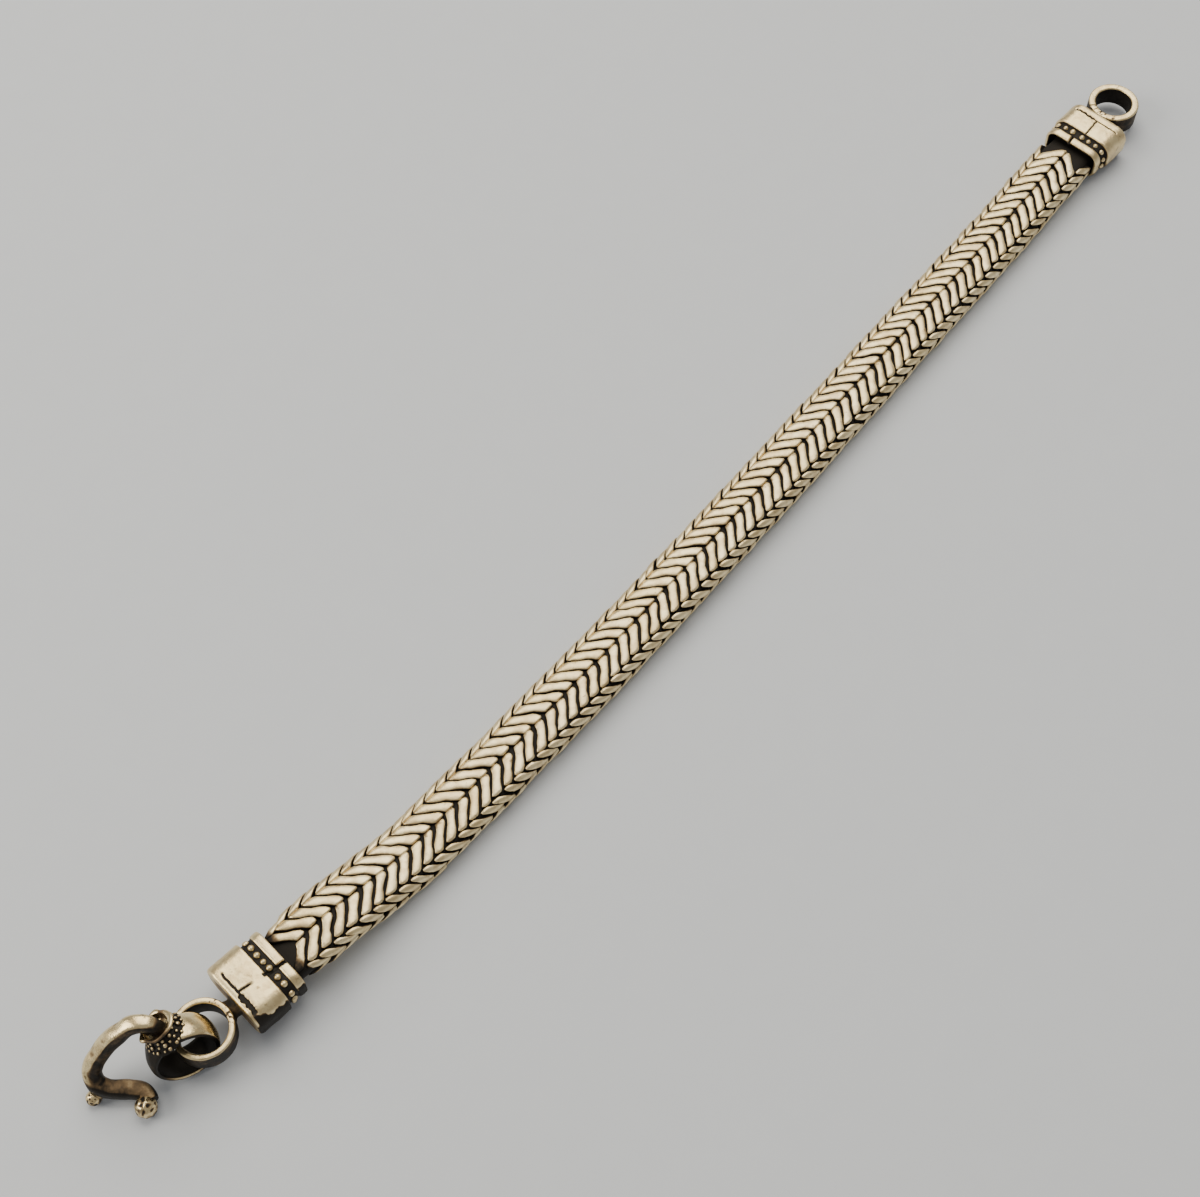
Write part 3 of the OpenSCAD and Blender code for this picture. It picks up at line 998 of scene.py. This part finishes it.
def band_core():
    """Dark core that fills the band between its bars."""
    full = SECTION[-1][0]
    quarter = [
        on_section(full * share, CORE_DEPTH) for share in even_shares(CORE_QUARTER_STEPS)]
    section = quarter + [(a, -u) for a, u in quarter[-2::-1]]
    section += [(-a, -u) for a, u in quarter[1:]] + [(-a, u) for a, u in quarter[-2:0:-1]]
    reach = HALF_CHAIN + CHAIN_INSERTION

    def point(x, place):
        """Point and wear of the core at a place along the chain and on its section."""
        across, up = place
        narrowed = Vector((
            0, across * neck_share(x, NECK_WIDTH), up * neck_share(x, NECK_HEIGHT)))
        return chain_point(x) + narrowed, 0.0

    core = Metal()
    stops = [-reach + 2 * reach * share for share in even_shares(CORE_STEPS)]
    core.skin(stops, section, point)
    return core.to_object("woven_chain")


def chain_line(sizes):
    """The line that the links follow, with the size that the band has along it."""
    start = -HALF_CHAIN - CHAIN_INSERTION + sizes.first_link / MM
    end = HALF_CHAIN + CHAIN_INSERTION - sizes.last_link / MM
    stops = [start + (end - start) * share for share in even_shares(LINE_STEPS)]
    ahead = [x + LINK_MIDDLE for x in stops]
    necks = [(1.0, neck_share(x, NECK_WIDTH), neck_share(x, NECK_HEIGHT)) for x in ahead]
    return line_object("chain_line", [chain_point(x) for x in stops], {"neck": necks})


def oblong_point(width, height, corner, share):
    """Across and up on a rounded oblong, a share of the way round from the middle of its top."""
    flat = width / 2 - corner
    wall = height - 2 * corner
    bend = math.pi * corner / 2
    half_way = 2 * flat + wall + 2 * bend
    walked = share * 2 * half_way
    side = 1.0
    if walked > half_way:
        walked = 2 * half_way - walked
        side = -1.0
    if walked < flat:
        return side * walked, height / 2
    walked -= flat
    if walked < bend:
        turn = walked / corner
        return side * (flat + corner * math.sin(turn)), wall / 2 + corner * math.cos(turn)
    walked -= bend
    if walked < wall:
        return side * width / 2, wall / 2 - walked
    walked -= wall
    if walked < bend:
        turn = walked / corner
        return side * (flat + corner * math.cos(turn)), -wall / 2 - corner * math.sin(turn)
    return side * (flat - (walked - bend)), -height / 2


def cap_groove(shape, x, y):
    """How deep the seams of a cap's top are at a place, from 0 to 1."""
    wide = smooth_step((y - shape.wide_from) / 0.25)
    half = shape.cross_narrow + (shape.cross_wide - shape.cross_narrow) * wide
    ragged = 0.22 * wide * wobble(x * 3.0, y * 3.4, shape.seed)
    middle = shape.cross + 0.10 * wobble(y * 1.7 + shape.seed, 3.0) + 0.3 * half * wide
    cross = smooth_step(1.6 * (1 - abs(x - middle) / (half + ragged)))
    cross *= 0.80 + 0.45 * wobble(y * 1.3, shape.seed) + 0.3 * wide
    cross *= 1 - smooth_step((y - SEAM_REACH) / 0.6)
    cross *= 1 - smooth_step((-y - shape.seam_start) / 0.5)
    line = shape.middle + shape.middle_slope * (x - shape.cross)
    straight = bump(y - line - 0.05 * wobble(x * 2.0, shape.seed), shape.middle_width)
    straight *= smooth_step((x - shape.middle_from) / (shape.middle_full - shape.middle_from))
    straight *= 1 - smooth_step((x - shape.cross) / 0.1)
    return min(max(cross, straight, 0.0), 1.0)


def block_side_shade(x, y, z, seed):
    """Share of painted shade on the corner and flank of a cap's block, from 0 to 1."""
    ragged = 0.55 * wobble(x * 1.1, y * 1.1, z * 1.1 + seed)
    ragged += 0.3 * wobble(x * 3.1, y * 3.1, z * 3.1)
    edge = SHADE_PLACE[1] - SHADE_SLOPE * (x - SHADE_PLACE[0])
    start, end = SHADE_REACH
    corner = smooth_step((y - edge + 0.7 * ragged) / 0.6)
    corner *= smooth_step((x - start + ragged) / 0.9) * (1 - smooth_step((x - end) / 0.2))
    flank = smooth_step((y - SHADED_FLANK + 0.4 * ragged) / 0.3)
    return max(corner, flank)


def cap_marks(shape, dents, x, y, z):
    """How deep a cap's outer skin is sunk at a place, and the share of its wear that is left after
    its seams and painted shade.
    """
    place = (x * 0.45 + shape.seed, y * 0.45, z * 0.45)
    sunk = dents * (0.35 * wobble(*place) + 0.12 * wobble(*(4 * c for c in place)))
    clean = 1.0
    if x <= shape.gash_end and z > 0.5:
        line = shape.split + shape.split_slope * (x - RIM_LENGTH / 2)
        split = bump(y - line, shape.split_width + 0.08 * wobble(x * 3.0, shape.seed))
        depth = SPLIT_DEPTH if x <= RIM_LENGTH + 0.1 else GASH_DEPTH
        sunk += depth * smooth_step(split * 2.5)
        clean = 1 - smooth_step(split * 3)
    if x <= BLOCK_START:
        # The mouth's bar's flank gets painted shade.
        scorch = smooth_step((y - SHADED_RIM + 0.2 * wobble(2 * x, 2 * z)) / 0.25)
        return sunk, clean * (1 - shape.scorch * scorch)
    if z > 1.0:
        groove = cap_groove(shape, x, y)
        cushion = bump(x - CUSHION_MIDDLE[0], CUSHION_REACH[0])
        cushion *= bump(abs(y - CUSHION_MIDDLE[1]) - CUSHION_APART, CUSHION_REACH[1])
        sunk += SEAM_DEPTH * groove - CUSHION_HEIGHT * cushion
        clean = min(clean, 1 - smooth_step(groove * 1.6))
    # The block's corner and flank get painted shade.
    return sunk, clean * (1 - shape.scorch * block_side_shade(x, y, z, shape.seed))


def cap_metal(shape, dents):
    """One end cap with its ring, mouth at X = 0, in its own frame."""
    rows = dense_rows(CAP_ROWS, CAP_STEP)
    mouth = next(i for i, row in enumerate(rows) if row[0] == 0.0)

    def point(numbered_row, share):
        """Point and wear of the cap at a row and a share of the way round."""
        index, (x, width, height, corner, rubbed) = numbered_row
        y, z = oblong_point(width, height, corner, share)
        if index < mouth:
            return Vector((x, y, z)), rubbed
        sunk, clean = cap_marks(shape, dents, x, y, z)
        out = Vector((y / width ** 2, z / height ** 2)).normalized()
        return Vector((x, y - out[0] * sunk, z - out[1] * sunk)), rubbed * clean

    metal = Metal()
    metal.skin(list(enumerate(rows)), even_shares(CAP_SIDES)[:-1], point)
    add_ring(metal, shape)
    add_solder(metal, shape)
    return metal


def rounded(half, corner, way):
    """Place on a side with rounded corners, from half its size and a cosine or sine."""
    return math.copysign(half - corner, way) + corner * way


def add_ring(metal, shape):
    """Short tube soldered to the cap, with rounded edges, standing along Z."""
    centre = CAP_LENGTH + shape.solder + RING_RADIUS
    wall = RING_RADIUS - shape.bore
    corner = min(RING_CORNER, wall * RING_CORNER_SHARE)

    def point(angle, turn):
        """Point and wear of the ring at an angle round it and a turn round its wall."""
        way = spoke(angle)
        r = rounded(wall / 2, corner, math.cos(turn))
        z = rounded(RING_HALF_HEIGHT, corner, math.sin(turn))
        outside = r > 0
        uneven = 0.035 * wobble(3 * way.x + shape.seed, 3 * way.y, z)
        radius = shape.bore + wall / 2 + r + (uneven if outside else 0.0)
        top = smooth_step((z - RING_HALF_HEIGHT + corner) / corner * 1.5)
        side = 0.30 + 0.2 * wobble(2 * way.x, 2 * way.y + shape.seed, 0.6 * z)
        flecks = smooth_step(3 * wobble(16 * way.y + shape.seed, 7 * r, 3 * z) - 0.1)
        cut = smooth_step((-way.x - 0.72) / 0.1) * flecks
        place = Vector((centre, shape.ring_shift, z + 0.5 * uneven)) + way * radius
        return place, max(top, side if outside else 0.0) * (1 - 0.75 * cut)

    half_step = math.pi / RING_WALL_SIDES
    metal.skin(round_turn(RING_SIDES), round_turn(RING_WALL_SIDES, half_step), point, ring=True)


def add_solder(metal, shape):
    """Lumpy solder between the cap and its ring."""
    start = CAP_LENGTH - SOLDER_OVERLAP
    end = CAP_LENGTH + shape.solder + (RING_RADIUS - shape.bore) * SOLDER_IN_WALL

    def point(share, angle):
        """Point and wear of the solder at a share of its length and an angle round it."""
        half = SOLDER_HALF + SOLDER_FLARE * (2 * share - 1) ** 2
        y, z = (math.copysign(abs(way) ** 0.7, way) * half for way in spoke(angle)[:2])
        z *= 0.92
        lump = 1 + 0.12 * wobble(3 * share + shape.seed, 2 * y, 2 * z)
        x = start + (end - start) * share
        return Vector((x, shape.ring_shift + y * lump, z * lump)), SOLDER_WEAR

    metal.skin(even_shares(SOLDER_STEPS), round_turn(SOLDER_SIDES), point)


def granule_share(y):
    """Share of the way round a cap's granule band at which its top has a sideways place."""
    low, high = -0.5, 0.5
    for _ in range(24):
        middle = (low + high) / 2
        if oblong_point(*GRANULE_BAND, middle % 1.0)[0] < y:
            low = middle
        else:
            high = middle
    return low % 1.0


def cap_spots(tops, count):
    """Places and ways out of a cap's granules: those on top, and the rest evenly round it."""
    shares = [granule_share(y) for y in tops]
    right = max(s for s in shares if s < 0.5)
    left = min(s for s in shares if s > 0.5)
    rest = count - len(tops)
    shares += [right + (left - right) * (i + 1) / (rest + 1) for i in range(rest)]
    spots = []
    for i, share in enumerate(shares):
        y, z = oblong_point(*GRANULE_BAND, share)
        before, after = (Vector(oblong_point(*GRANULE_BAND, share + k)) for k in (-0.002, 0.002))
        along = (after - before).normalized()
        out = Vector((0, -along.y, along.x))
        if out.y * y + out.z * z < 0:
            out = -out
        spots.append((Vector((GRANULE_LINE + 0.06 * wobble(i * 1.7), y, z)), out))
    return spots


def place_cap(metal, spots, shape):
    """Moves a cap to its place from its own frame, and gives its granule spots there."""
    beyond = math.copysign(3.0, shape.x)
    heading = shape.turn + chain_heading(shape.x + beyond) + CAP_TURN
    turn = Matrix.Rotation(math.radians(heading), 3, "Z")
    origin = Vector((shape.x, chain_side(shape.x), CAP_MIDDLE + shape.lift)) + FRAME_SHIFT
    metal.points = [turn @ p + origin for p in metal.points]
    return [(turn @ p + origin, turn @ out) for p, out in spots]


def clear_of_bore(point):
    """Keeps a point of the hook, measured from the eye's middle, out of the eye's hollow."""
    inner = EYE_RADIUS - EYE_WALL + 0.1
    if 0 < point.length < inner:
        return point * (inner / point.length)
    return point


def eye_rows(radius, inwards, wear):
    """One skin of the eye's wall between its open sides: along its axis, radius, wear."""
    low, high = EYE_OPENINGS
    rows = []
    for i, share in enumerate(even_shares(EYE_STEPS)):
        along = low + (high - low) * share
        edge = min(i, EYE_STEPS - i)
        inset = EYE_EDGE[edge] if edge < len(EYE_EDGE) else 0.0
        here = math.sqrt(radius ** 2 - along ** 2) - inwards * inset
        rows.append((along, here, RIM_WEAR if edge == 0 else wear))
    return rows


def add_eye(metal):
    """Domed shell of the hook's eye between its two open sides."""
    rows = eye_rows(EYE_RADIUS, 1, EYE_WEAR)
    rows += eye_rows(EYE_RADIUS - EYE_WALL, -1, HOLLOW_WEAR)[::-1]
    turn = aim_matrix(EYE_AXIS)

    def point(angle, row):
        """Point and wear of the eye at an angle round it and a row of its wall."""
        along, radius, wear = row
        place = turn @ Vector((radius * math.cos(angle), radius * math.sin(angle), along))
        uneven = 0.0
        if wear == EYE_WEAR:
            uneven = 0.04 * wobble(*(0.9 * c for c in place))
        if wear == RIM_WEAR and along > 0:
            wear *= 0.2 + bump(math.degrees(angle) - EYE_RIM_SPOT[0], EYE_RIM_SPOT[1])
        elif wear != HOLLOW_WEAR:
            # The outer skin darkens away from its brightest side: painted shade.
            facing = place.normalized().dot(EYE_BRIGHT_WAY)
            wear *= 0.24 + 0.76 * smooth_step((facing + 0.05) / 0.5)
        return place * (1 - uneven / EYE_RADIUS) + EYE_MIDDLE, wear

    metal.skin(round_turn(EYE_SIDES), rows, point, ring=True)


def lip_wear(angle):
    """Share of the wear that the collar has at an angle round it, in degrees."""
    return LEAST_LIP_WEAR + (1 - LEAST_LIP_WEAR) * max(
        bump((angle - at + 180) % 360 - 180, width) for at, width in LIP_SPOTS)


def add_collar(metal):
    """Skirt and open cup that stand on the eye and hold the wire."""
    turn = aim_matrix(COLLAR_WAY)

    def point(row, angle):
        """Point and wear of the collar at a row and an angle round it."""
        along, radius, wear = row
        way = spoke(angle)
        share = lip_wear(math.degrees(angle))
        uneven = 1 + 0.03 * wobble(2 * way.x, 2 * way.y, 0.6 * along)
        if along > CUP_RIM and radius > CUP_INSIDE:
            uneven += LIP_GROWTH * (share - LEAST_LIP_WEAR)
        place = way * radius * uneven
        place.z = along + 0.06 * wobble(1.5 * way.x + 4.0, 1.5 * way.y)
        return clear_of_bore(turn @ place) + EYE_MIDDLE, wear * share

    metal.skin(dense_rows(COLLAR_ROWS, COLLAR_STEP), round_turn(COLLAR_SIDES), point)


def collar_spots():
    """Places and ways out of the granules on the collar."""
    turn = aim_matrix(COLLAR_WAY)
    up = Vector((0, 0, 1))
    spots = []
    for row, (along, radius, count, phase) in enumerate(COLLAR_SPOTS):
        for i in range(count):
            step = i + phase + 0.5 * wobble(i * 2.3, row * 1.9)
            out = spoke(2 * math.pi * step / count)
            place = out * radius + up * (along + 0.22 * wobble(i * 1.7, row * 3.1))
            spots.append((turn @ place + EYE_MIDDLE, turn @ (out * 0.76 + up * 0.65)))
    return spots


def add_ball(metal, centre, radius, dent, seed):
    """Ball with a dimpled skin."""
    def point(level, angle):
        """Point and wear of the ball at an angle down from its top and one round it."""
        way = spoke(angle) * math.sin(level)
        way.z = math.cos(level)
        pit = abs(wobble(1.9 * way.x + seed, 1.9 * way.y, 1.9 * way.z))
        place = centre + way * (radius - dent * pit * radius) + EYE_MIDDLE
        return place, max(0.95 - 1.1 * smooth_step(pit * 1.6), 0.0)

    levels = [math.pi * i / BALL_STEPS for i in range(1, BALL_STEPS)]
    metal.skin(levels, round_turn(BALL_SIDES), point)


def add_stub(metal):
    """Tapering wire between the small ball and the hook's bend."""
    way = STUB_END - BEND_BALL
    turn = aim_matrix(way)
    start, end = STUB_RADII

    def point(share, angle):
        """Point and wear of the stub at a share of its length and an angle round it."""
        out = turn @ (spoke(angle) * (start + (end - start) * share))
        return BEND_BALL + way * share + out + EYE_MIDDLE, STUB_WEAR

    metal.skin(even_shares(STUB_STEPS), round_turn(STUB_SIDES), point)


def wire_wear(step):
    """Share of the wear that the wire has: most on its long rise, least from the bend on."""
    return 0.80 + 0.20 * smooth_step((step - 2.0) / 1.2) - 0.54 * smooth_step((step - 9.5) / 1.2)


def wire_line():
    """The line of the hook's wire, with its thickness and the wear that it keeps."""
    last = len(WIRE_ROWS) - 1
    steps = [WIRE_START + (last - WIRE_START) * share for share in even_shares(WIRE_STEPS)]
    middles = [Vector([on_curve(WIRE_ROWS, column, s) for column in (1, 2, 3)]) for s in steps]
    return line_object("hook_wire", [middle + EYE_MIDDLE for middle in middles], {
        "thick": [on_curve(WIRE_ROWS, 4, s) * MM for s in steps],
        "rubbed": [wire_wear(s) for s in steps],
    })


def hook_wire(sizes, metal):
    """The hook's hammered wire, kept out of the eye's hollow."""
    wire = run_tree(wire_line(), hammered_wire_tree(), {
        "Dent depth": sizes.wire_dents, "Metal": metal})
    for vertex in wire.data.vertices:
        from_eye = vertex.co / MM - EYE_MIDDLE
        if from_eye.y < WIRE_NEAR_EYE:
            vertex.co = (clear_of_bore(from_eye) + EYE_MIDDLE) * MM
    # Painted shade on the wire's sides that face away from the light above.
    paint_shade_facing_away(wire, (0, 0.5, 0.87), low=0.35, high=0.58, least=0.28)
    return wire


def hook_head(sizes, metal):
    """The hook's eye, its granulated collar, its two balls and the small ball's stub."""
    body = Metal()
    add_eye(body)
    add_collar(body)
    add_ball(body, TIP_BALL, TIP_BALL_RADIUS, dent=0.16, seed=4.0)
    add_ball(body, BEND_BALL, BEND_BALL_RADIUS, dent=0.10, seed=8.0)
    add_stub(body)
    marks = spots_object("collar_spots", collar_spots())
    head = run_tree(body.to_object("hook_eye_and_collar"), granule_tree(), {
        "Spots": marks, "Radius": sizes.collar_granule_radius, "Variation": 0.3,
        "Worn from": 0.55, "Worn to": 1.1, "Seed": 5, "Metal": metal,
    }, [marks])
    # Painted shade on the head's sides and underside, which face away from the light above.
    paint_shade_facing_away(head, (0, 0.2, 1), low=-0.35, high=0.25, least=0.45)
    return head


class BraceletSizes(bpy.types.PropertyGroup):
    """Sizes of the links, caps and hook that the solids leave open."""

    links: bpy.props.IntProperty(
        name="Links", description="Links along the woven chain", default=81, min=40, max=100)
    first_link: bpy.props.FloatProperty(
        name="First link", description="Distance of the first link from the chain's near end",
        default=2.1 * MM, min=0.0, max=3 * MM, unit="LENGTH", precision=5)
    last_link: bpy.props.FloatProperty(
        name="Last link", description="Distance of the last link from the chain's far end",
        default=8.07 * MM, min=2.5 * MM, max=10 * MM, unit="LENGTH", precision=5)
    link_tilt: bpy.props.FloatProperty(
        name="Link tilt", description="Most that a bar leans from its place",
        default=0.025, min=0.0, max=0.1, subtype="ANGLE")
    link_shift: bpy.props.FloatProperty(
        name="Link shift", description="Most that a bar lies off its place",
        default=0.04 * MM, min=0.0, max=0.15 * MM, unit="LENGTH", precision=5)
    link_waves: bpy.props.FloatProperty(
        name="Link waves", description="How far the lines between the bars wander along the chain",
        default=0.7 * MM, min=0.0, max=1.2 * MM, unit="LENGTH", precision=5)
    granule_radius: bpy.props.FloatProperty(
        name="Granule radius", description="Radius of the granules round the caps",
        default=0.42 * MM, min=0.3 * MM, max=0.5 * MM, unit="LENGTH", precision=5)
    granules: bpy.props.IntProperty(
        name="Granules", description="Granules round one cap", default=18, min=12, max=24)
    cap_dents: bpy.props.FloatProperty(
        name="Cap dents", description="Depth of the caps' dents",
        default=0.12 * MM, min=0.0, max=0.3 * MM, unit="LENGTH", precision=5)
    wire_dents: bpy.props.FloatProperty(
        name="Wire dents", description="Depth of the hammer marks on the hook's wire",
        default=0.18 * MM, min=0.0, max=0.25 * MM, unit="LENGTH", precision=5)
    collar_granule_radius: bpy.props.FloatProperty(
        name="Collar granule radius", description="Radius of the granules on the hook's collar",
        default=0.29 * MM, min=0.2 * MM, max=0.4 * MM, unit="LENGTH", precision=5)


class BraceletFinish(bpy.types.PropertyGroup):
    """Colours and polish of the silver."""

    silver_colour: bpy.props.FloatVectorProperty(
        name="Silver", description="Colour of the rubbed silver",
        default=(1.00, 0.85, 0.53, 1.0), size=4, min=0.0, max=1.0, subtype="COLOR")
    shade_colour: bpy.props.FloatVectorProperty(
        name="Shaded silver", description="Colour of the duller silver between the bright spots",
        default=(0.88, 0.72, 0.41, 1.0), size=4, min=0.0, max=1.0, subtype="COLOR")
    warm_colour: bpy.props.FloatVectorProperty(
        name="Warm silver", description="Colour of the thin yellow tarnish on the rubbed silver",
        default=(0.60, 0.44, 0.23, 1.0), size=4, min=0.0, max=1.0, subtype="COLOR")
    stain_colour: bpy.props.FloatVectorProperty(
        name="Stain", description="Colour of the brown tarnish",
        default=(0.20, 0.13, 0.065, 1.0), size=4, min=0.0, max=1.0, subtype="COLOR")
    oxide_colour: bpy.props.FloatVectorProperty(
        name="Oxide", description="Colour of the dark oxide in the hollows",
        default=(0.016, 0.013, 0.010, 1.0), size=4, min=0.0, max=1.0, subtype="COLOR")
    chain_roughness: bpy.props.FloatProperty(
        name="Chain roughness", description="Roughness of the chain's silver",
        default=0.40, min=0.05, max=0.9, subtype="FACTOR")
    cap_roughness: bpy.props.FloatProperty(
        name="Cap roughness", description="Roughness of the caps' silver",
        default=0.34, min=0.05, max=0.9, subtype="FACTOR")
    hook_roughness: bpy.props.FloatProperty(
        name="Hook roughness", description="Roughness of the hook's silver",
        default=0.25, min=0.05, max=0.9, subtype="FACTOR")


class StageSettings(bpy.types.PropertyGroup):
    """Floor and lights."""

    floor_colour: bpy.props.FloatVectorProperty(
        name="Floor", description="Colour of the pale floor",
        default=(0.67, 0.71, 0.77, 1.0), size=4, min=0.0, max=1.0, subtype="COLOR")
    key_power: bpy.props.FloatProperty(
        name="Key light", description="Power of the large soft light behind the bracelet",
        default=7.2, min=0.0, max=100.0, unit="POWER")
    side_power: bpy.props.FloatProperty(
        name="Side light", description="Power of the smaller light from the left",
        default=2.0, min=0.0, max=100.0, unit="POWER")
    light_colour: bpy.props.FloatVectorProperty(
        name="Light colour", description="Colour of the two soft lights",
        default=(1.0, 0.93, 0.80), size=3, min=0.0, max=1.0, subtype="COLOR")
    air_colour: bpy.props.FloatVectorProperty(
        name="Surroundings colour", description="Colour of the soft light from all round",
        default=(1.0, 0.98, 0.94, 1.0), size=4, min=0.0, max=1.0, subtype="COLOR")
    air_strength: bpy.props.FloatProperty(
        name="Surroundings", description="Strength of the soft light from all round",
        default=0.36, min=0.0, max=3.0)


class BRACELET_OT_weave(bpy.types.Operator):
    """Weaves the chain's links round a dark core"""

    bl_idname = "bracelet.weave"
    bl_label = "Woven chain"
    bl_options = {"REGISTER", "UNDO"}

    def execute(self, context):
        sizes = context.scene.bracelet_sizes
        finish = context.scene.bracelet_finish
        metal = silver_material(
            "woven_silver", finish, finish.chain_roughness, stains=0.10, darkness=0.35, shaded_ends=True)
        shelves = bar_shelves()
        line = chain_line(sizes)
        chain = run_tree(band_core(), weave_tree(list(shelves)), {
            "Line": line, "Links": sizes.links, "Tilt": sizes.link_tilt,
            "Shift": sizes.link_shift, "Waves": sizes.link_waves, "Metal": metal, **shelves,
        }, [line])
        for shelf in shelves.values():
            for bar in list(shelf.objects):
                bpy.data.objects.remove(bar)
            bpy.data.collections.remove(shelf)
        far_end = (FRAME_SHIFT.x + HALF_CHAIN + CHAIN_INSERTION) * MM
        for vertex in chain.data.vertices:
            vertex.co.x = min(vertex.co.x, far_end)
        finish_piece(chain, "bracelet", ["chain"])
        return {"FINISHED"}


class BRACELET_OT_end_caps(bpy.types.Operator):
    """Makes the two end caps with their granules and rings"""

    bl_idname = "bracelet.end_caps"
    bl_label = "End caps"
    bl_options = {"REGISTER", "UNDO"}

    def execute(self, context):
        sizes = context.scene.bracelet_sizes
        finish = context.scene.bracelet_finish
        metal = silver_material(
            "cap_silver", finish, finish.cap_roughness, stains=0.12, darkness=0.45)
        tree = granule_tree()
        for shape in (HOOK_END_CAP, RING_END_CAP):
            body = cap_metal(shape, sizes.cap_dents / MM)
            spots = place_cap(body, cap_spots(shape.granules, sizes.granules), shape)
            marks = spots_object(shape.node + "_spots", spots)
            cap = run_tree(body.to_object(shape.node + "_silver"), tree, {
                "Spots": marks, "Radius": sizes.granule_radius,
                "Seed": int(shape.seed), "Metal": metal,
            }, [marks])
            # Painted shade on the cap's sides and underside, which face away from the light above.
            paint_shade_facing_away(cap, (0, 0, 1), low=-0.5, high=0.35, least=0.45)
            finish_piece(cap, "bracelet", [shape.node])
        return {"FINISHED"}


class BRACELET_OT_hook(bpy.types.Operator):
    """Makes the hook: its domed eye, granulated collar, hammered wire and balls"""

    bl_idname = "bracelet.hook"
    bl_label = "Hook"
    bl_options = {"REGISTER", "UNDO"}

    def execute(self, context):
        sizes = context.scene.bracelet_sizes
        finish = context.scene.bracelet_finish
        metal = silver_material(
            "hook_silver", finish, finish.hook_roughness, stains=0.16, darkness=0.5)
        finish_piece(hook_wire(sizes, metal), "hook", ["hook"])
        finish_piece(hook_head(sizes, metal), "hook", ["hook"])
        return {"FINISHED"}


class BRACELET_OT_stage(bpy.types.Operator):
    """Sets the pale floor, the soft lights and the camera"""

    bl_idname = "bracelet.stage"
    bl_label = "Stage"
    bl_options = {"REGISTER", "UNDO"}

    def execute(self, context):
        settings = context.scene.bracelet_stage
        self.add_floor(settings)
        self.add_light("key", KEY_PLACE, KEY_SIZE, settings.key_power, settings)
        self.add_light("side", SIDE_PLACE, SIDE_SIZE, settings.side_power, settings)
        self.add_air(settings)
        self.add_camera()
        return {"FINISHED"}

    def add_object(self, name, kind):
        """Puts a mesh, a light or a camera in the scene."""
        thing = bpy.data.objects.new(name, kind)
        bpy.context.scene.collection.objects.link(thing)
        return thing

    def add_floor(self, settings):
        """A wide flat floor with a faint mottle."""
        mesh = bpy.data.meshes.new("floor")
        corners = [(x * FLOOR_HALF, y * FLOOR_HALF, 0) for x, y in FLOOR_CORNERS]
        mesh.from_pydata(corners, [], [(0, 1, 2, 3)])
        floor = self.add_object("floor", mesh)
        material = bpy.data.materials.new("pale_floor")
        shader = shader_of(material)
        nodes = Nodes(material.node_tree)
        place = nodes.add("ShaderNodeTexCoord").outputs["Object"]
        mottle = nodes.made("ShaderNodeTexNoise", {"Vector": place, "Scale": 240.0, "Detail": 3.0})
        colour = settings.floor_colour[:]
        darker = tuple(c * 0.965 for c in colour[:3]) + (1.0,)
        nodes.feed(shader.inputs["Base Color"], nodes.mixed(mottle, darker, colour))
        shader.inputs["Roughness"].default_value = 0.75
        mesh.materials.append(material)

    def add_light(self, name, place, size, power, settings):
        """A square soft light that faces the bracelet."""
        light = bpy.data.lights.new(name, "AREA")
        light.shape = "SQUARE"
        light.size = size
        light.energy = power
        light.color = settings.light_colour[:]
        lamp = self.add_object(name, light)
        lamp.location = place
        lamp.rotation_euler = (-Vector(place)).to_track_quat("-Z", "Y").to_euler()

    def add_air(self, settings):
        """Soft light from all round."""
        world = bpy.data.worlds.new("soft_air")
        world.use_nodes = True
        air = world.node_tree.nodes["Background"]
        air.inputs["Color"].default_value = settings.air_colour[:]
        air.inputs["Strength"].default_value = settings.air_strength
        bpy.context.scene.world = world

    def add_camera(self):
        """The camera at the photograph's angle."""
        camera = bpy.data.cameras.new("camera")
        camera.lens = 60.0
        camera.sensor_width = 36.0
        camera.sensor_fit = "HORIZONTAL"
        camera.clip_start = 0.01
        viewer = self.add_object("camera", camera)
        viewer.location = CAMERA_PLACE
        viewer.rotation_euler = (math.radians(CAMERA_TILT), 0.0, math.radians(CAMERA_HEADING))
        bpy.context.scene.camera = viewer


class BRACELET_PT_panel(bpy.types.Panel):
    """Sizes, finish and pieces of the bracelet"""

    bl_idname = "BRACELET_PT_panel"
    bl_label = "Wheat chain bracelet"
    bl_space_type = "VIEW_3D"
    bl_region_type = "UI"
    bl_category = "Bracelet"

    def draw(self, context):
        scene = context.scene
        for group in (scene.bracelet_sizes, scene.bracelet_finish, scene.bracelet_stage):
            box = self.layout.box()
            for key in group.__annotations__:
                box.prop(group, key)
        for operator in OPERATORS:
            self.layout.operator(operator.bl_idname)


OPERATORS = (BRACELET_OT_weave, BRACELET_OT_end_caps, BRACELET_OT_hook, BRACELET_OT_stage)
CLASSES = (BraceletSizes, BraceletFinish, StageSettings) + OPERATORS + (BRACELET_PT_panel,)


def register():
    for kind in CLASSES:
        bpy.utils.register_class(kind)
    bpy.types.Scene.bracelet_sizes = bpy.props.PointerProperty(type=BraceletSizes)
    bpy.types.Scene.bracelet_finish = bpy.props.PointerProperty(type=BraceletFinish)
    bpy.types.Scene.bracelet_stage = bpy.props.PointerProperty(type=StageSettings)


def unregister():
    del bpy.types.Scene.bracelet_sizes
    del bpy.types.Scene.bracelet_finish
    del bpy.types.Scene.bracelet_stage
    for kind in reversed(CLASSES):
        bpy.utils.unregister_class(kind)


def main():
    register()
    bpy.ops.bracelet.weave()
    bpy.ops.bracelet.end_caps()
    bpy.ops.bracelet.hook()
    bpy.ops.bracelet.stage()


if __name__ == "__main__":
    main()
